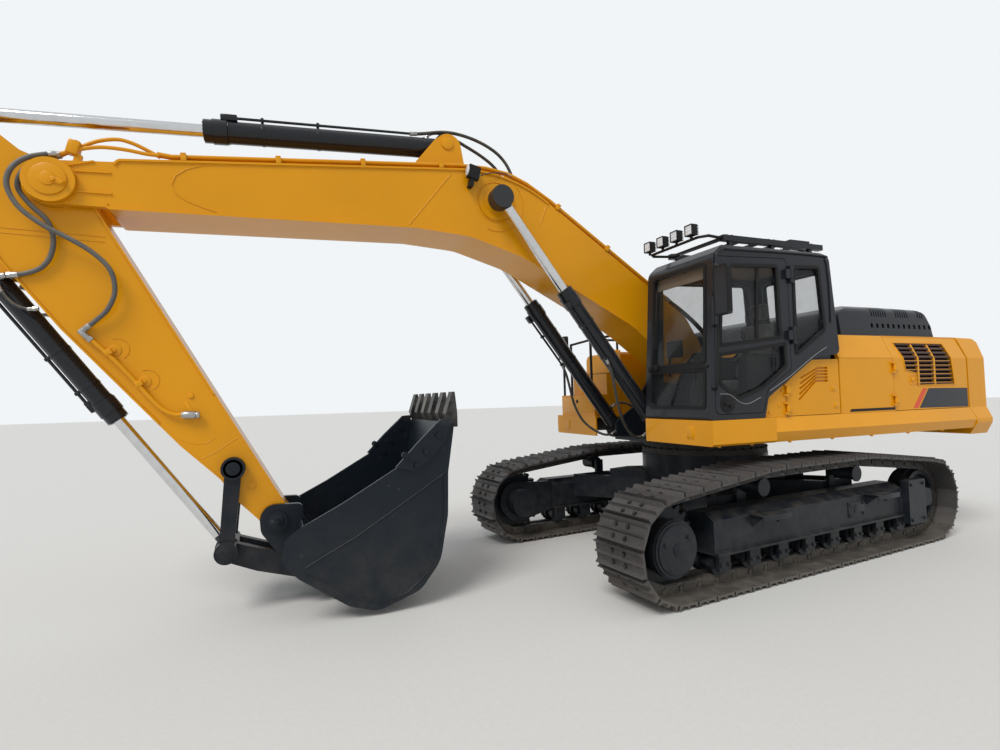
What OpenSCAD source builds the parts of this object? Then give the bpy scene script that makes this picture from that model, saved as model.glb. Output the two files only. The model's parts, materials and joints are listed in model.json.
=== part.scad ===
// Crawler excavator of the 36 tonne class, parked with its bucket curled just above the ground.
// Millimetres. +X points from the turntable towards the boom, +Y to the cab side, +Z up.

/* [Undercarriage] */
// Distance between the centre lines of the two tracks
track_gauge = 2590; // [2400:10:2800]
// Width of a track shoe
shoe_w = 600; // [500:10:700]
// Distance between sprocket and idler axles
tumbler_dist = 4000; // [3800:10:4200]
// Radius of the inner face of the shoes round the wheels
track_r = 425; // [400:5:450]
// Thickness of a shoe plate
shoe_t = 20; // [15:1:25]
// Height of a grouser bar
grouser_h = 30; // [20:1:40]
// Number of shoes on one track
shoe_count = 49; // [45:1:53]
// Height of the link chain inside the shoes
chain_h = 100; // [90:1:110]
// Distance of each carrier roller from the middle
carrier_x = 750; // [600:10:900]
// Height that the carrier rollers lift the inner face of the shoes to
carrier_top = 1035; // [1000:5:1060]
// Number of bottom rollers on one side
roller_count = 8; // [7:1:9]
// Radius of a bottom roller
roller_r = 85; // [75:1:95]
// Width of a track frame box
frame_w = 380; // [340:10:400]
// Angle by which the tracks are turned under the upper structure
slew_rest = 5.5; // [0:0.5:8]

/* [Upper structure] */
// Half of the width over the side frames
body_hw = 1497; // [1450:1:1520]
// Underside of the side frames
skirt_z = 1270; // [1260:5:1300]
// Height of the deck that the cab and the housings stand on
deck_z = 1510; // [1490:5:1530]
// Front edge of the deck
deck_front = 1215; // [1180:5:1240]
// Radius that the tail swings
tail_r = 3430; // [3380:10:3480]
// Front face of the counterweight
weight_front = -2790; // [-2810:5:-2780]
// Half of the width of the engine housing
house_hw = 1425; // [1410:1:1440]
// Height of the crease along the housing
crease_z = 2100; // [2080:5:2120]
// Height of the housing roof
hood_z = 2360; // [2340:5:2380]
// Thickness of the housing panels
panel_t = 40; // [30:1:45]
// Gap round a door or a lid
door_gap = 6; // [5:1:8]

/* [Cab] */
// Inner side of the cab
cab_y0 = 515; // [512:1:525]
// Outer side of the cab
cab_y1 = 1480; // [1470:1:1485]
// Thickness of the cab walls
cab_t = 50; // [40:1:60]
// Thickness of the window panes
glass_t = 6; // [5:1:8]

/* [Boom, arm and bucket] */
// Length of the boom from foot pin to nose pin
boom_len = 6418; // [6300:1:6500]
// Rise of the boom above level when parked
boom_rest = 13.26; // [12:0.01:14]
// Half of the width of the boom box
boom_hw = 280; // [270:1:285]
// Length of the arm from nose pin to bucket pin
arm_len = 3198; // [3150:1:3250]
// Turn of the arm from level when parked
arm_rest = 120; // [118:0.5:121]
// Half of the width of the arm box
arm_hw = 200; // [195:1:205]
// Half of the width of the bucket
bucket_hw = 760; // [700:5:800]
// Thickness of the bucket shell
bucket_t = 25; // [20:1:35]
// Number of bucket teeth
tooth_count = 6; // [5:1:6]
// Thickness of the welded box plates
plate_t = 14; // [10:1:18]

/* [Hidden] */
// Running clearance of a pin in its bore
run = 0.05;
// Side clearance between moving pieces
side_gap = 5;
// Gap between a piece and its seat where both are separate solids
seat = 0.3;

boom_foot = [262, 2065];
boom_nose = boom_foot + boom_len * [cos(boom_rest), sin(boom_rest)];
bucket_pin = boom_nose + arm_len * [cos(arm_rest), -sin(arm_rest)];

// Places of the pins: boom frame (from the foot, along the chord), arm frame (from the nose pin)
// and bucket frame (from the bucket pin, parked)
boom_cyl_eye = [2858, 1085];
arm_cyl_base = [3451, 1565];
arm_cyl_eye = [-868, 378];
bucket_cyl_base = [248, 745];
rocker_pin = [2620, 58];
push_pin = [-270, -457];
link_pin = bucket_pin + [397, -226];
boom_cyl_base = [970, 1360];

function boom_pt(p) = boom_foot + [p.x*cos(boom_rest) - p.y*sin(boom_rest), p.x*sin(boom_rest) + p.y*cos(boom_rest)];
function arm_pt(p) = boom_nose + [p.x*cos(arm_rest) + p.y*sin(arm_rest), -p.x*sin(arm_rest) + p.y*cos(arm_rest)];
function bucket_pt(p) = bucket_pin + p;

boom_eye_at = boom_pt(boom_cyl_eye);
arm_base_at = boom_pt(arm_cyl_base);
arm_eye_at = arm_pt(arm_cyl_eye);
bucket_base_at = arm_pt(bucket_cyl_base);
rocker_at = arm_pt(rocker_pin);
push_at = bucket_pt(push_pin);

// Pin radii
foot_pin_r = 60;
nose_pin_r = 55;
bucket_pin_r = 50;
rocker_pin_r = 45;
push_pin_r = 45;
cyl_pin_r = 45;

// Cylinders: barrel radius, rod radius, barrel length from its eye, rod length inside at rest, eye radius
boom_cyl = [85, 50, 1900, 840, 115];
arm_cyl = [98, 55, 2222, 500, 120];
bucket_cyl = [80, 45, 1562, 380, 100];
boom_cyl_y = 412;
// Ears that hold the arm cylinder on the boom and the bucket cylinder on the arm: inner face and thickness
arm_ear_y = arm_cyl[0] + side_gap + 1;
bucket_ear_y = bucket_cyl[0] + side_gap + 1;
cyl_ear_t = 40;

boom_eye_hw = 66;
tail_eye_r = 145;
arm_front_x = arm_eye_at.x + tail_eye_r;
slew_x = (tail_r - arm_front_x) / 2;
bearing_r = 700;
bearing_top = skirt_z - 35;
axle_z = track_r + shoe_t + grouser_h;
axle_x = tumbler_dist / 2;
chain_y = 100;
tooth_y = 48;
frame_z0 = 360;
frame_z1 = 700;

YELLOW = "#f2a900";
DARK = "#23282e";
STEEL = "#5b5650";
CHROME = "#d8dde0";

// Outline helpers. A row of an outline is [x, z, corner radius], counterclockwise.
function unit(v) = v / norm(v);
function flat(p) = [p[0], p[1]];
function corner(a, v, b, r, n) =
    let (p = unit(flat(a) - flat(v)), q = unit(flat(b) - flat(v)),
         half = acos(max(-1, min(1, p * q))) / 2,
         bisector = p + q)
    (r <= 0 || norm(bisector) < 0.01) ? [flat(v)] :
    let (c = flat(v) + unit(bisector) * r / sin(half),
         s = flat(v) + p * r / tan(half) - c,
         e = flat(v) + q * r / tan(half) - c,
         a0 = atan2(s.y, s.x),
         turn = ((atan2(e.y, e.x) - a0 + 540) % 360) - 180)
    [for (k = [0:n]) c + r * [cos(a0 + turn * k / n), sin(a0 + turn * k / n)]];
function outline(rows, n = 5) =
    let (m = len(rows))
    [for (i = [0:m - 1]) each corner(rows[(i + m - 1) % m], rows[i], rows[(i + 1) % m], rows[i][2], n)];
function left_of(v) = [-v.y, v.x];
// The same outline moved inwards by d
function inset(rows, d) =
    let (m = len(rows))
    [for (i = [0:m - 1])
        let (v = flat(rows[i]),
             p = unit(v - flat(rows[(i + m - 1) % m])),
             q = unit(flat(rows[(i + 1) % m]) - v),
             w = left_of(p) + left_of(q),
             s = v + w * d / (1 + p * q))
        [s.x, s.y, max(rows[i][2] - d, 0)]];

// Extrude an outline in X and Z across Y, in Y and Z along X, or a round bar across Y
module across(y0, y1) {
    translate([0, y1, 0]) rotate([90, 0, 0]) linear_extrude(y1 - y0) children();
}
module along_x(x0, x1) {
    translate([x0, 0, 0]) rotate([90, 0, 90]) linear_extrude(x1 - x0) children();
}
module bar_y(p, r, y0, y1, sides = 48) {
    translate([p.x, y1, p.y]) rotate([90, 0, 0]) cylinder(r = r, h = y1 - y0, $fn = sides);
}
module block(lo, hi) {
    translate(lo) cube(hi - lo);
}
module both_sides() {
    children();
    mirror([0, 1, 0]) children();
}
// A round tube along a list of points. Every second length is a little thinner, and lengths overlap at the bends.
module tube(points, r, sides = 16) {
    last = len(points) - 2;
    for (i = [0:last]) {
        v = points[i + 1] - points[i];
        lap = r * 0.4;
        translate(points[i])
            rotate([0, acos(v.z / norm(v)), atan2(v.y, v.x)])
                translate([0, 0, i > 0 ? -lap : 0])
                    cylinder(r = i % 2 == 0 ? r : r * 0.96, h = norm(v) + (i > 0 ? lap : 0) + (i < last ? lap : 0), $fn = sides);
    }
}

module whole() { translate([slew_x, 0, 0]) children(); }
module on_tracks() { whole() rotate([0, 0, slew_rest]) children(); }
module one_track(side) { on_tracks() translate([0, side * track_gauge / 2, 0]) children(); }
module at_boom() { whole() translate([boom_foot.x, 0, boom_foot.y]) rotate([0, -boom_rest, 0]) children(); }
module at_arm() { whole() translate([boom_nose.x, 0, boom_nose.y]) rotate([0, arm_rest, 0]) children(); }
module at_bucket() { whole() translate([bucket_pin.x, 0, bucket_pin.y]) children(); }
// Local +X runs from point p to point q, both [x, z]
module between(p, q) {
    translate([p.x, 0, p.y]) rotate([0, -atan2(q.y - p.y, q.x - p.x), 0]) children();
}

// Track path: bottom run, round the sprocket, up to the carriers, and back round the idler
carrier_pt = [carrier_x, carrier_top];
wheel_c = [axle_x, axle_z];
wheel_to_carrier = carrier_pt - wheel_c;
leave_angle = atan2(wheel_to_carrier.y, wheel_to_carrier.x) - acos(track_r / norm(wheel_to_carrier));
leave_pt = wheel_c + track_r * [cos(leave_angle), sin(leave_angle)];
arc_len = track_r * (leave_angle + 90) * PI / 180;
slope_len = norm(carrier_pt - leave_pt);
path_len = 2 * axle_x + 2 * arc_len + 2 * slope_len + 2 * carrier_x;
function mirrored(p) = [-p.x, p.y];
function half_path(s) =
    s < axle_x ? [s, axle_z - track_r] :
    s < axle_x + arc_len ? wheel_c + track_r * [sin((s - axle_x) / arc_len * (leave_angle + 90)),
                                                -cos((s - axle_x) / arc_len * (leave_angle + 90))] :
    s < axle_x + arc_len + slope_len ? leave_pt + (carrier_pt - leave_pt) * (s - axle_x - arc_len) / slope_len :
    [carrier_x - (s - axle_x - arc_len - slope_len), carrier_top];
function path(s) = s < path_len / 2 ? half_path(s) : mirrored(half_path(path_len - s));
joint_pts = [for (i = [0:shoe_count - 1]) path(path_len * (i + 0.5) / shoe_count)];
// One shoe in its own frame, rows of [share of the pitch, offset along it, height above the plate's inner face]
shoe_gap = 20;
bar_foot = 30;
shoe_rows = [
    [0, shoe_gap / 2, 4],
    [0, shoe_gap / 2, shoe_t + grouser_h],
    [0, shoe_gap / 2 + bar_foot, shoe_t],
    [0.5, -bar_foot / 2, shoe_t],
    [0.5, 0, shoe_t + grouser_h - 4],
    [0.5, bar_foot / 2, shoe_t],
    [1, -shoe_gap / 2 - bar_foot, shoe_t],
    [1, -shoe_gap / 2, shoe_t + grouser_h],
    [1, -shoe_gap / 2, 4]
];
function shoe_points(a, b) =
    let (v = b - a, t = unit(v), out = [t.y, -t.x])
    [for (row = shoe_rows) a + t * (row[0] * norm(v) + row[1]) + out * row[2]];
function chain_points(depth) =
    [for (i = [0:shoe_count - 1])
        let (p = joint_pts[(i + shoe_count - 1) % shoe_count], v = joint_pts[i],
             q = joint_pts[(i + 1) % shoe_count],
             w = left_of(unit(v - p)) + left_of(unit(q - v)))
        v + w * depth / (1 + unit(v - p) * unit(q - v))];

module track(side) color(STEEL) one_track(side) {
    across(-shoe_w / 2, shoe_w / 2) difference() {
        polygon([for (i = [0:shoe_count - 1]) each shoe_points(joint_pts[i], joint_pts[(i + 1) % shoe_count])]);
        polygon(joint_pts);
    }
    for (s = [-1, 1])
        translate([0, s * (chain_y + tooth_y) / 2, 0])
            across(-(chain_y - tooth_y) / 2, (chain_y - tooth_y) / 2) difference() {
                polygon(joint_pts);
                polygon(chain_points(chain_h));
            }
}
module track_left() { track(1); }
module track_right() { track(-1); }

// Bottom rollers run inside the chain, on shafts held by the track frame
roller_z = grouser_h + shoe_t + chain_h + roller_r + seat;
roller_step = (tumbler_dist - 1200) / (roller_count - 1);
roller_xs = [for (i = [0:roller_count - 1]) -roller_step * (roller_count - 1) / 2 + i * roller_step];
roller_shaft_r = 32;
lug_y = 150;
lug_t = 40;
module bottom_rollers(side) color(DARK) one_track(side)
    for (x = roller_xs) {
        for (s = [-1, 1]) {
            bar_y([x, roller_z], roller_r, s > 0 ? tooth_y : -chain_y - 2, s > 0 ? chain_y + 2 : -tooth_y, 36);
            bar_y([x, roller_z], roller_r + 14, s > 0 ? chain_y + 2 : -chain_y - 24, s > 0 ? chain_y + 24 : -chain_y - 2, 36);
        }
        bar_y([x, roller_z], roller_r - 25, -tooth_y, tooth_y, 36);
        bar_y([x, roller_z], roller_shaft_r, -lug_y + seat, lug_y - seat, 24);
    }
module bottom_rollers_left() { bottom_rollers(1); }
module bottom_rollers_right() { bottom_rollers(-1); }

// The chain bends over the carrier rollers, so its inside dips there
carrier_r = 70;
carrier_dip = 10;
carrier_z = carrier_top - chain_h - carrier_r - carrier_dip;
bracket_t = 40;
module carrier_rollers() color(DARK)
    for (side = [-1, 1]) one_track(side)
        for (x = [-carrier_x, carrier_x]) {
            bar_y([x, carrier_z], carrier_r, -chain_y - 5, chain_y + 5, 36);
            bar_y([x, carrier_z], carrier_r + 15, chain_y + 5, chain_y + 22, 36);
            bar_y([x, carrier_z], 40, side > 0 ? -frame_w / 2 + bracket_t : chain_y + 5,
                  side > 0 ? -chain_y - 5 : frame_w / 2 - bracket_t, 24);
        }

// The chain is straight between its joints, so its inside dips towards the wheel there
half_pitch = path_len / shoe_count / 2;
idler_r = sqrt(track_r * track_r - half_pitch * half_pitch) - chain_h;
yoke_y = 150;
yoke_t = 35;
module idlers() color(DARK)
    for (side = [-1, 1]) one_track(side)
        difference() {
            union() {
                bar_y([-axle_x, axle_z], idler_r, -chain_y - 5, chain_y + 5, 72);
                bar_y([-axle_x, axle_z], idler_r + 28, -tooth_y + 4, tooth_y - 4, 72);
                bar_y([-axle_x, axle_z], 70, -yoke_y + seat, yoke_y - seat, 36);
            }
            for (s = [-1, 1])
                bar_y([-axle_x, axle_z], idler_r - 45, s > 0 ? 45 : -chain_y - 6, s > 0 ? chain_y + 6 : -45, 72);
        }

sprocket_teeth = 23;
sprocket_tip_r = track_r - 45;
sprocket_root_r = sprocket_tip_r - 50;
drive_hub_r = 245;
cheek_y = 112;
cheek_t = 38;
module sprocket_disc()
    linear_extrude(2 * tooth_y - 10, center = true)
        polygon([for (i = [0:sprocket_teeth - 1])
            let (a = 360 / sprocket_teeth * i, d = 360 / sprocket_teeth)
            each [sprocket_root_r * [cos(a - 0.32 * d), sin(a - 0.32 * d)],
                  sprocket_tip_r * [cos(a - 0.13 * d), sin(a - 0.13 * d)],
                  sprocket_tip_r * [cos(a + 0.13 * d), sin(a + 0.13 * d)],
                  sprocket_root_r * [cos(a + 0.32 * d), sin(a + 0.32 * d)]]]);
module final_drives() color(DARK)
    for (side = [-1, 1]) one_track(side) {
        translate([axle_x, 0, axle_z]) rotate([90, 0, 0]) sprocket_disc();
        // planetary hub with its bolted cover on the outer side, neck to the frame cheek on the inner side
        y0 = side > 0 ? tooth_y - 5 : -225;
        y1 = side > 0 ? 225 : -tooth_y + 5;
        bar_y([axle_x, axle_z], drive_hub_r - 15, y0, y1, 72);
        bar_y([axle_x, axle_z], drive_hub_r, side > 0 ? 150 : -205, side > 0 ? 205 : -150, 72);
        bar_y([axle_x, axle_z], 190, side > 0 ? -cheek_y + seat : tooth_y - 5, side > 0 ? -tooth_y + 5 : cheek_y - seat, 72);
        for (i = [0:23])
            translate([axle_x, side * 208, axle_z]) rotate([0, 15 * i, 0])
                translate([drive_hub_r - 22, 0, 0]) rotate([90, 0, 0]) cylinder(r = 9, h = 22, center = true, $fn = 6);
    }

// Track frame: sloped box, lower flange, roller lugs, cheek for the drive, yoke and guard for the idler
frame_x0 = -axle_x + 560;
frame_x1 = axle_x - 480;
frame_section = [
    [-frame_w / 2, frame_z0, 0], [frame_w / 2, frame_z0, 0], [frame_w / 2, frame_z1 - 60, 10],
    [frame_w / 2 - 110, frame_z1, 10], [-frame_w / 2 + 110, frame_z1, 10], [-frame_w / 2, frame_z1 - 60, 10]
];
module track_frame(side) color(DARK) one_track(side) {
    difference() {
        along_x(frame_x0, frame_x1) polygon(outline(frame_section, 2));
        along_x(frame_x0 + 20, frame_x1 - 20) polygon(outline(inset(frame_section, 20), 2));
    }
    block([frame_x0, -frame_w / 2 - 35, frame_z0 - 22], [frame_x1, frame_w / 2 + 35, frame_z0]);
    for (x = roller_xs, s = [-1, 1]) {
        y0 = s > 0 ? lug_y : -lug_y - lug_t;
        difference() {
            block([x - 70, y0, roller_z - 45], [x + 70, y0 + lug_t, frame_z0 - 22]);
            for (e = [-1, 1])
                translate([x + e * 95, y0 - 1, roller_z - 46]) rotate([0, e * 30, 0])
                    translate([e > 0 ? 0 : -60, 0, -40]) cube([60, lug_t + 2, 100]);
        }
    }
    // brackets of the carrier rollers stand on the inner edge of the box
    for (x = [-carrier_x, carrier_x])
        block([x - 55, side > 0 ? -frame_w / 2 : frame_w / 2 - bracket_t, frame_z1 - 90],
              [x + 55, side > 0 ? -frame_w / 2 + bracket_t : frame_w / 2, carrier_z + 50]);
    // inner cheek that carries the travel motor, with its round end
    inner = side > 0 ? [-cheek_y - cheek_t, -cheek_y] : [cheek_y, cheek_y + cheek_t];
    across(inner[0], inner[1]) polygon(outline([
        [frame_x1 - 40, frame_z0 - 22, 0], [axle_x + 60, axle_z - 270, 240], [axle_x + 270, axle_z - 60, 200],
        [axle_x + 200, axle_z + 250, 200], [frame_x1 - 40, frame_z1 - 20, 60]], 6));
    motor = side > 0 ? [-cheek_y - cheek_t - 180, -cheek_y - cheek_t] : [cheek_y + cheek_t, cheek_y + cheek_t + 180];
    bar_y([axle_x, axle_z], 165, motor[0], motor[1], 48);
    // idler yoke, slide guard and outer guard box
    for (s = [-1, 1])
        across(s > 0 ? yoke_y : -yoke_y - yoke_t, s > 0 ? yoke_y + yoke_t : -yoke_y) polygon(outline([
            [-axle_x - 110, axle_z - 85, 70], [frame_x0 + 2, frame_z0, 0], [frame_x0 + 2, frame_z1 - 60, 0],
            [-axle_x - 110, axle_z + 105, 80]], 5));
    guard = side > 0 ? [yoke_y + yoke_t, yoke_y + yoke_t + 85] : [-yoke_y - yoke_t - 85, -yoke_y - yoke_t];
    across(guard[0], guard[1]) polygon(outline([
        [-axle_x + 210, 240, 20], [frame_x0 - 10, 240, 20], [frame_x0 - 10, frame_z1 + 30, 20],
        [-axle_x + 210, frame_z1 + 30, 20]], 3));
}
module track_frame_left() { track_frame(1); }
module track_frame_right() { track_frame(-1); }

// Centre frame: tower under the turntable and four legs to the track frames
leg_y = track_gauge / 2 - frame_w / 2;
tower_r = bearing_r + 30;
// Towing lugs lie flat, with their eye upright
tow_r = 35;
tow_x = 930;
tow_z = 590;
tow_t = 50;
module carbody() color(DARK) on_tracks() {
    difference() {
        union() {
            translate([0, 0, 560]) cylinder(r = tower_r, h = bearing_top - 175 - 560, $fn = 96);
            for (sx = [-1, 1], sy = [-1, 1])
                scale([sx, sy, 1]) translate([0, 0, 470])
                    linear_extrude(280)
                        polygon([[120, 0], [480, 0], [1180, leg_y], [620, leg_y], [120, 520]]);
            for (sx = [-1, 1], sy = [-1, 1])
                scale([sx, sy, 1]) translate([0, 0, 749])
                    linear_extrude(90)
                        polygon([[120, 0], [480, 0], [900, 700], [560, 760], [120, 520]]);
            for (s = [-1, 1]) {
                block([s > 0 ? 400 : -860, -260, 500], [s > 0 ? 860 : -400, 260, 720]);
                block([s > 0 ? 860 : -tow_x - 80, -90, tow_z - tow_t / 2], [s > 0 ? tow_x + 80 : -860, 90, tow_z + tow_t / 2]);
            }
        }
        translate([0, 0, 400]) cylinder(r = tower_r - 45, h = 1000, $fn = 96);
        // legs are boxes, open towards the tower
        for (sx = [-1, 1], sy = [-1, 1])
            scale([sx, sy, 1]) translate([0, 0, 490])
                linear_extrude(320)
                    polygon([[300, 300], [560, 200], [1120, leg_y - 30], [680, leg_y - 30]]);
        for (s = [-1, 1])
            translate([s * tow_x, 0, tow_z - tow_t / 2 - 1]) cylinder(r = tow_r, h = tow_t + 2, $fn = 36);
    }
}
module swing_bearing() color(STEEL) on_tracks()
    translate([0, 0, bearing_top - 175]) difference() {
        union() {
            cylinder(r = bearing_r, h = 175 - seat, $fn = 96);
            cylinder(r = bearing_r + 25, h = 60, $fn = 96);
        }
        translate([0, 0, -1]) cylinder(r = bearing_r - 110, h = 200, $fn = 96);
    }

// Swing frame: base plate, two long plates that carry the boom, cross beams
long_y0 = boom_hw + side_gap;
long_t = 36;
long_rows = [
    [weight_front + seat, skirt_z, 0], [1060, skirt_z, 60], [1060, 1440, 70],
    [760, 1640, 60], [470, 2090, 120], [330, 2245, 120], [180, 2245, 120], [-60, 1960, 160],
    [-620, 1480, 200], [weight_front + seat, 1440, 0]
];
module swing_frame() color(DARK) whole() {
    difference() {
        union() {
            block([weight_front + 50, -760, bearing_top], [boom_cyl_base.x - boom_cyl[4] - side_gap, 760, skirt_z]);
            block([800, -long_y0 - long_t, bearing_top], [1060, long_y0 + long_t, skirt_z]);
            translate([0, 0, bearing_top]) cylinder(r = bearing_r + 60, h = skirt_z - bearing_top, $fn = 96);
        }
        translate([0, 0, bearing_top - 1]) cylinder(r = 220, h = 100, $fn = 64);
    }
    both_sides() {
        difference() {
            across(long_y0, long_y0 + long_t) polygon(outline(long_rows, 4));
            bar_y(boom_foot, foot_pin_r, long_y0 - 1, long_y0 + long_t + 1);
        }
        // beams out to the side frames
        for (x = [-2300, -1500, -620, 300])
            block([x, long_y0 + long_t, skirt_z + 30], [x + 70, body_hw - 130, skirt_z + 180]);
        block([700, long_y0 + long_t, skirt_z + 30], [770, body_hw - 70, skirt_z + 180]);
        bar_y(boom_foot, 105, long_y0 + long_t, long_y0 + long_t + 18);
        // pin of the boom cylinder, with a spacer on the plate and a cap outside the eye
        bar_y(boom_cyl_base, 90, long_y0 + long_t, boom_cyl_y - boom_eye_hw - side_gap);
        bar_y(boom_cyl_base, cyl_pin_r, long_y0, boom_cyl_y + boom_eye_hw + side_gap + 10);
        bar_y(boom_cyl_base, 62, boom_cyl_y + boom_eye_hw + side_gap, boom_cyl_y + boom_eye_hw + side_gap + 10);
    }
    block([-2560, -long_y0, skirt_z], [-2520, long_y0, 1420]);
    block([560, -long_y0, skirt_z], [600, long_y0, 1460]);
    bar_y(boom_foot, foot_pin_r, -long_y0 - long_t - 12, long_y0 + long_t + 12, 48);
}

// Side frames with the deck: upright at the front, sloped out along the engine housing
slope_x = 430;
skirt_front_rows = [[body_hw - 70, skirt_z, 0], [body_hw - 25, skirt_z, 0], [body_hw, skirt_z + 20, 0], [body_hw, deck_z, 0],
                    [body_hw - 70, deck_z, 0]];
skirt_rear_rows = [[body_hw - 130, skirt_z, 0], [body_hw - 45, skirt_z, 0], [body_hw, skirt_z + 100, 0],
                   [body_hw - 75, deck_z, 0], [body_hw - 130, deck_z, 0]];
deck_t = 12;
// Half widths of the opening in the deck: at the boom's cylinders, and at the engine
well_hw = cab_y0 - 10;
engine_well_hw = long_y0 + long_t + 70;
module skirt_box(x0, x1, rows) {
    difference() {
        along_x(x0, x1) polygon(outline(rows));
        along_x(x0 + 14, x1 - 14) polygon(outline(inset(rows, 14)));
    }
}
module side_skirts() color(YELLOW) whole() both_sides() {
    skirt_box(slope_x, deck_front, skirt_front_rows);
    skirt_box(weight_front + seat, slope_x, skirt_rear_rows);
    // front cross face and the deck plates
    block([deck_front - 20, well_hw, skirt_z], [deck_front, body_hw - 70, deck_z]);
    difference() {
        block([weight_front + seat, engine_well_hw, deck_z - deck_t], [deck_front - 20, body_hw - 70, deck_z]);
        block([slope_x, 0, deck_z - 60], [deck_front, well_hw, deck_z + 1]);
        block([weight_front, body_hw - 130, deck_z - 60], [slope_x, body_hw, deck_z + 1]);
    }
}

// Cab: hollow shell with a side profile, rounded roof, and openings for the panes and the door
cab_side = [
    [1222, deck_z, 30], [1118, 3060, 130], [1000, 3165, 60], [-425, 3195, 110], [-524, 2138, 60],
    [-147, 2094, 60], [497, 1709, 60], [552, deck_z, 20]
];
// Behind the side panel the cab goes down to the deck
cab_box = [
    [1222, deck_z, 30], [1118, 3060, 130], [1000, 3165, 60], [-425, 3195, 110], [-524, 2138, 60], [-500, deck_z, 20]
];
cab_step_y = house_hw - panel_t - 10;
cab_front = [
    [cab_y0, deck_z - 1, 0], [cab_y1, deck_z - 1, 0], [cab_y1, 3205, 95], [cab_y0, 3205, 95]
];
door_rows = [
    [568, 1565, 40], [1158, 1565, 60], [1104, 3045, 70], [178, 3080, 60], [178, 1985, 50], [505, 1790, 60]
];
door_glass_top = [[1085, 2199, 30], [1012, 2970, 40], [312, 3005, 50], [296, 2289, 40]];
door_glass_low = [[1088, 2123, 20], [243, 2240, 20], [243, 2005, 30], [560, 1800, 40], [885, 1700, 60], [1095, 1850, 60]];
quarter_rows = [[105, 2110, 20], [96, 3010, 50], [-270, 3030, 70], [-325, 2385, 60]];
right_rows = [[1010, 1750, 60], [960, 2980, 60], [-260, 3020, 60], [-310, 2330, 60], [250, 1960, 60]];
front_top_rows = [[cab_y0 + 90, 2045, 40], [cab_y1 - 80, 2045, 40], [cab_y1 - 95, 3000, 60], [cab_y0 + 100, 3000, 60]];
front_low_rows = [[cab_y0 + 80, 1625, 60], [cab_y1 - 75, 1625, 60], [cab_y1 - 80, 1990, 20], [cab_y0 + 90, 1990, 20]];
rear_rows = [[cab_y0 + 110, 2330, 60], [cab_y1 - 110, 2330, 60], [cab_y1 - 120, 3010, 60], [cab_y0 + 120, 3010, 60]];
hinge_at = [150, cab_y1 + 22];
hinge_pin_r = 14;
hinge_zs = [2270, 2880];
hinge_h = 90;
function grown(rows, d) = inset(rows, -d);
module cab_shell() color(DARK) whole() {
    difference() {
        intersection() {
            union() {
                across(cab_step_y - 1, cab_y1) polygon(outline(reverse_rows(cab_side), 5));
                across(cab_y0, cab_step_y) polygon(outline(reverse_rows(cab_box), 5));
            }
            along_x(-700, 1400) polygon(outline(cab_front, 5));
        }
        intersection() {
            union() {
                across(cab_y0 + cab_t, cab_y1 - cab_t) polygon(outline(inset(reverse_rows(cab_side), cab_t), 5));
                across(cab_y0 + cab_t, cab_step_y - cab_t) polygon(outline(inset(reverse_rows(cab_box), cab_t), 5));
            }
            along_x(-700, 1400) polygon(outline(inset(cab_front, cab_t), 5));
        }
        across(cab_y1 - cab_t - 1, cab_y1 + 1) polygon(outline(grown(door_rows, door_gap), 5));
        across(cab_y1 - cab_t - 1, cab_y1 + 1) polygon(outline(reverse_rows(quarter_rows), 5));
        across(cab_y0 - 1, cab_y0 + cab_t + 1) polygon(outline(reverse_rows(right_rows), 5));
        along_x(1000, 1400) polygon(outline(front_top_rows, 5));
        along_x(1000, 1400) polygon(outline(front_low_rows, 5));
        along_x(-700, -300) polygon(outline(rear_rows, 5));
    }
    // hinge brackets with their pins
    for (z = hinge_zs) {
        translate([hinge_at.x, hinge_at.y, z - 40]) cylinder(r = hinge_pin_r, h = hinge_h + 80, $fn = 32);
        for (e = [z - 40, z + hinge_h + 5])
            block([hinge_at.x - 50, cab_y1, e], [hinge_at.x + 14, hinge_at.y, e + 35]);
    }
}
// Rows listed clockwise are turned round, so that every outline runs counterclockwise
function area(rows) = let (m = len(rows))
    sum([for (i = [0:m - 1]) rows[i][0] * rows[(i + 1) % m][1] - rows[(i + 1) % m][0] * rows[i][1]]) / 2;
function sum(v, i = 0) = i < len(v) ? v[i] + sum(v, i + 1) : 0;
function reverse_rows(rows) = area(rows) > 0 ? rows : [for (i = [len(rows) - 1:-1:0]) rows[i]];

module pane_y(rows, y) across(y - glass_t / 2, y + glass_t / 2) polygon(outline(inset(reverse_rows(rows), seat), 5));
module cab_glass() color([0.6, 0.75, 0.8, 0.4]) whole() {
    pane_y(quarter_rows, cab_y1 - cab_t / 2);
    pane_y(right_rows, cab_y0 + cab_t / 2);
    // front panes follow the rake of the front
    for (rows = [front_top_rows, front_low_rows])
        intersection() {
            along_x(1000, 1400) polygon(outline(inset(rows, seat), 5));
            across(cab_y0, cab_y1) polygon(rake(26, 26 + glass_t));
        }
    intersection() {
        along_x(-700, -300) polygon(outline(inset(rear_rows, seat), 5));
        across(cab_y0, cab_y1) polygon([[-524 + 24, 2138], [-524 + 24 + glass_t, 2138],
                                       [-430 + 26 + glass_t, 3195], [-430 + 26, 3195]]);
    }
}
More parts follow.
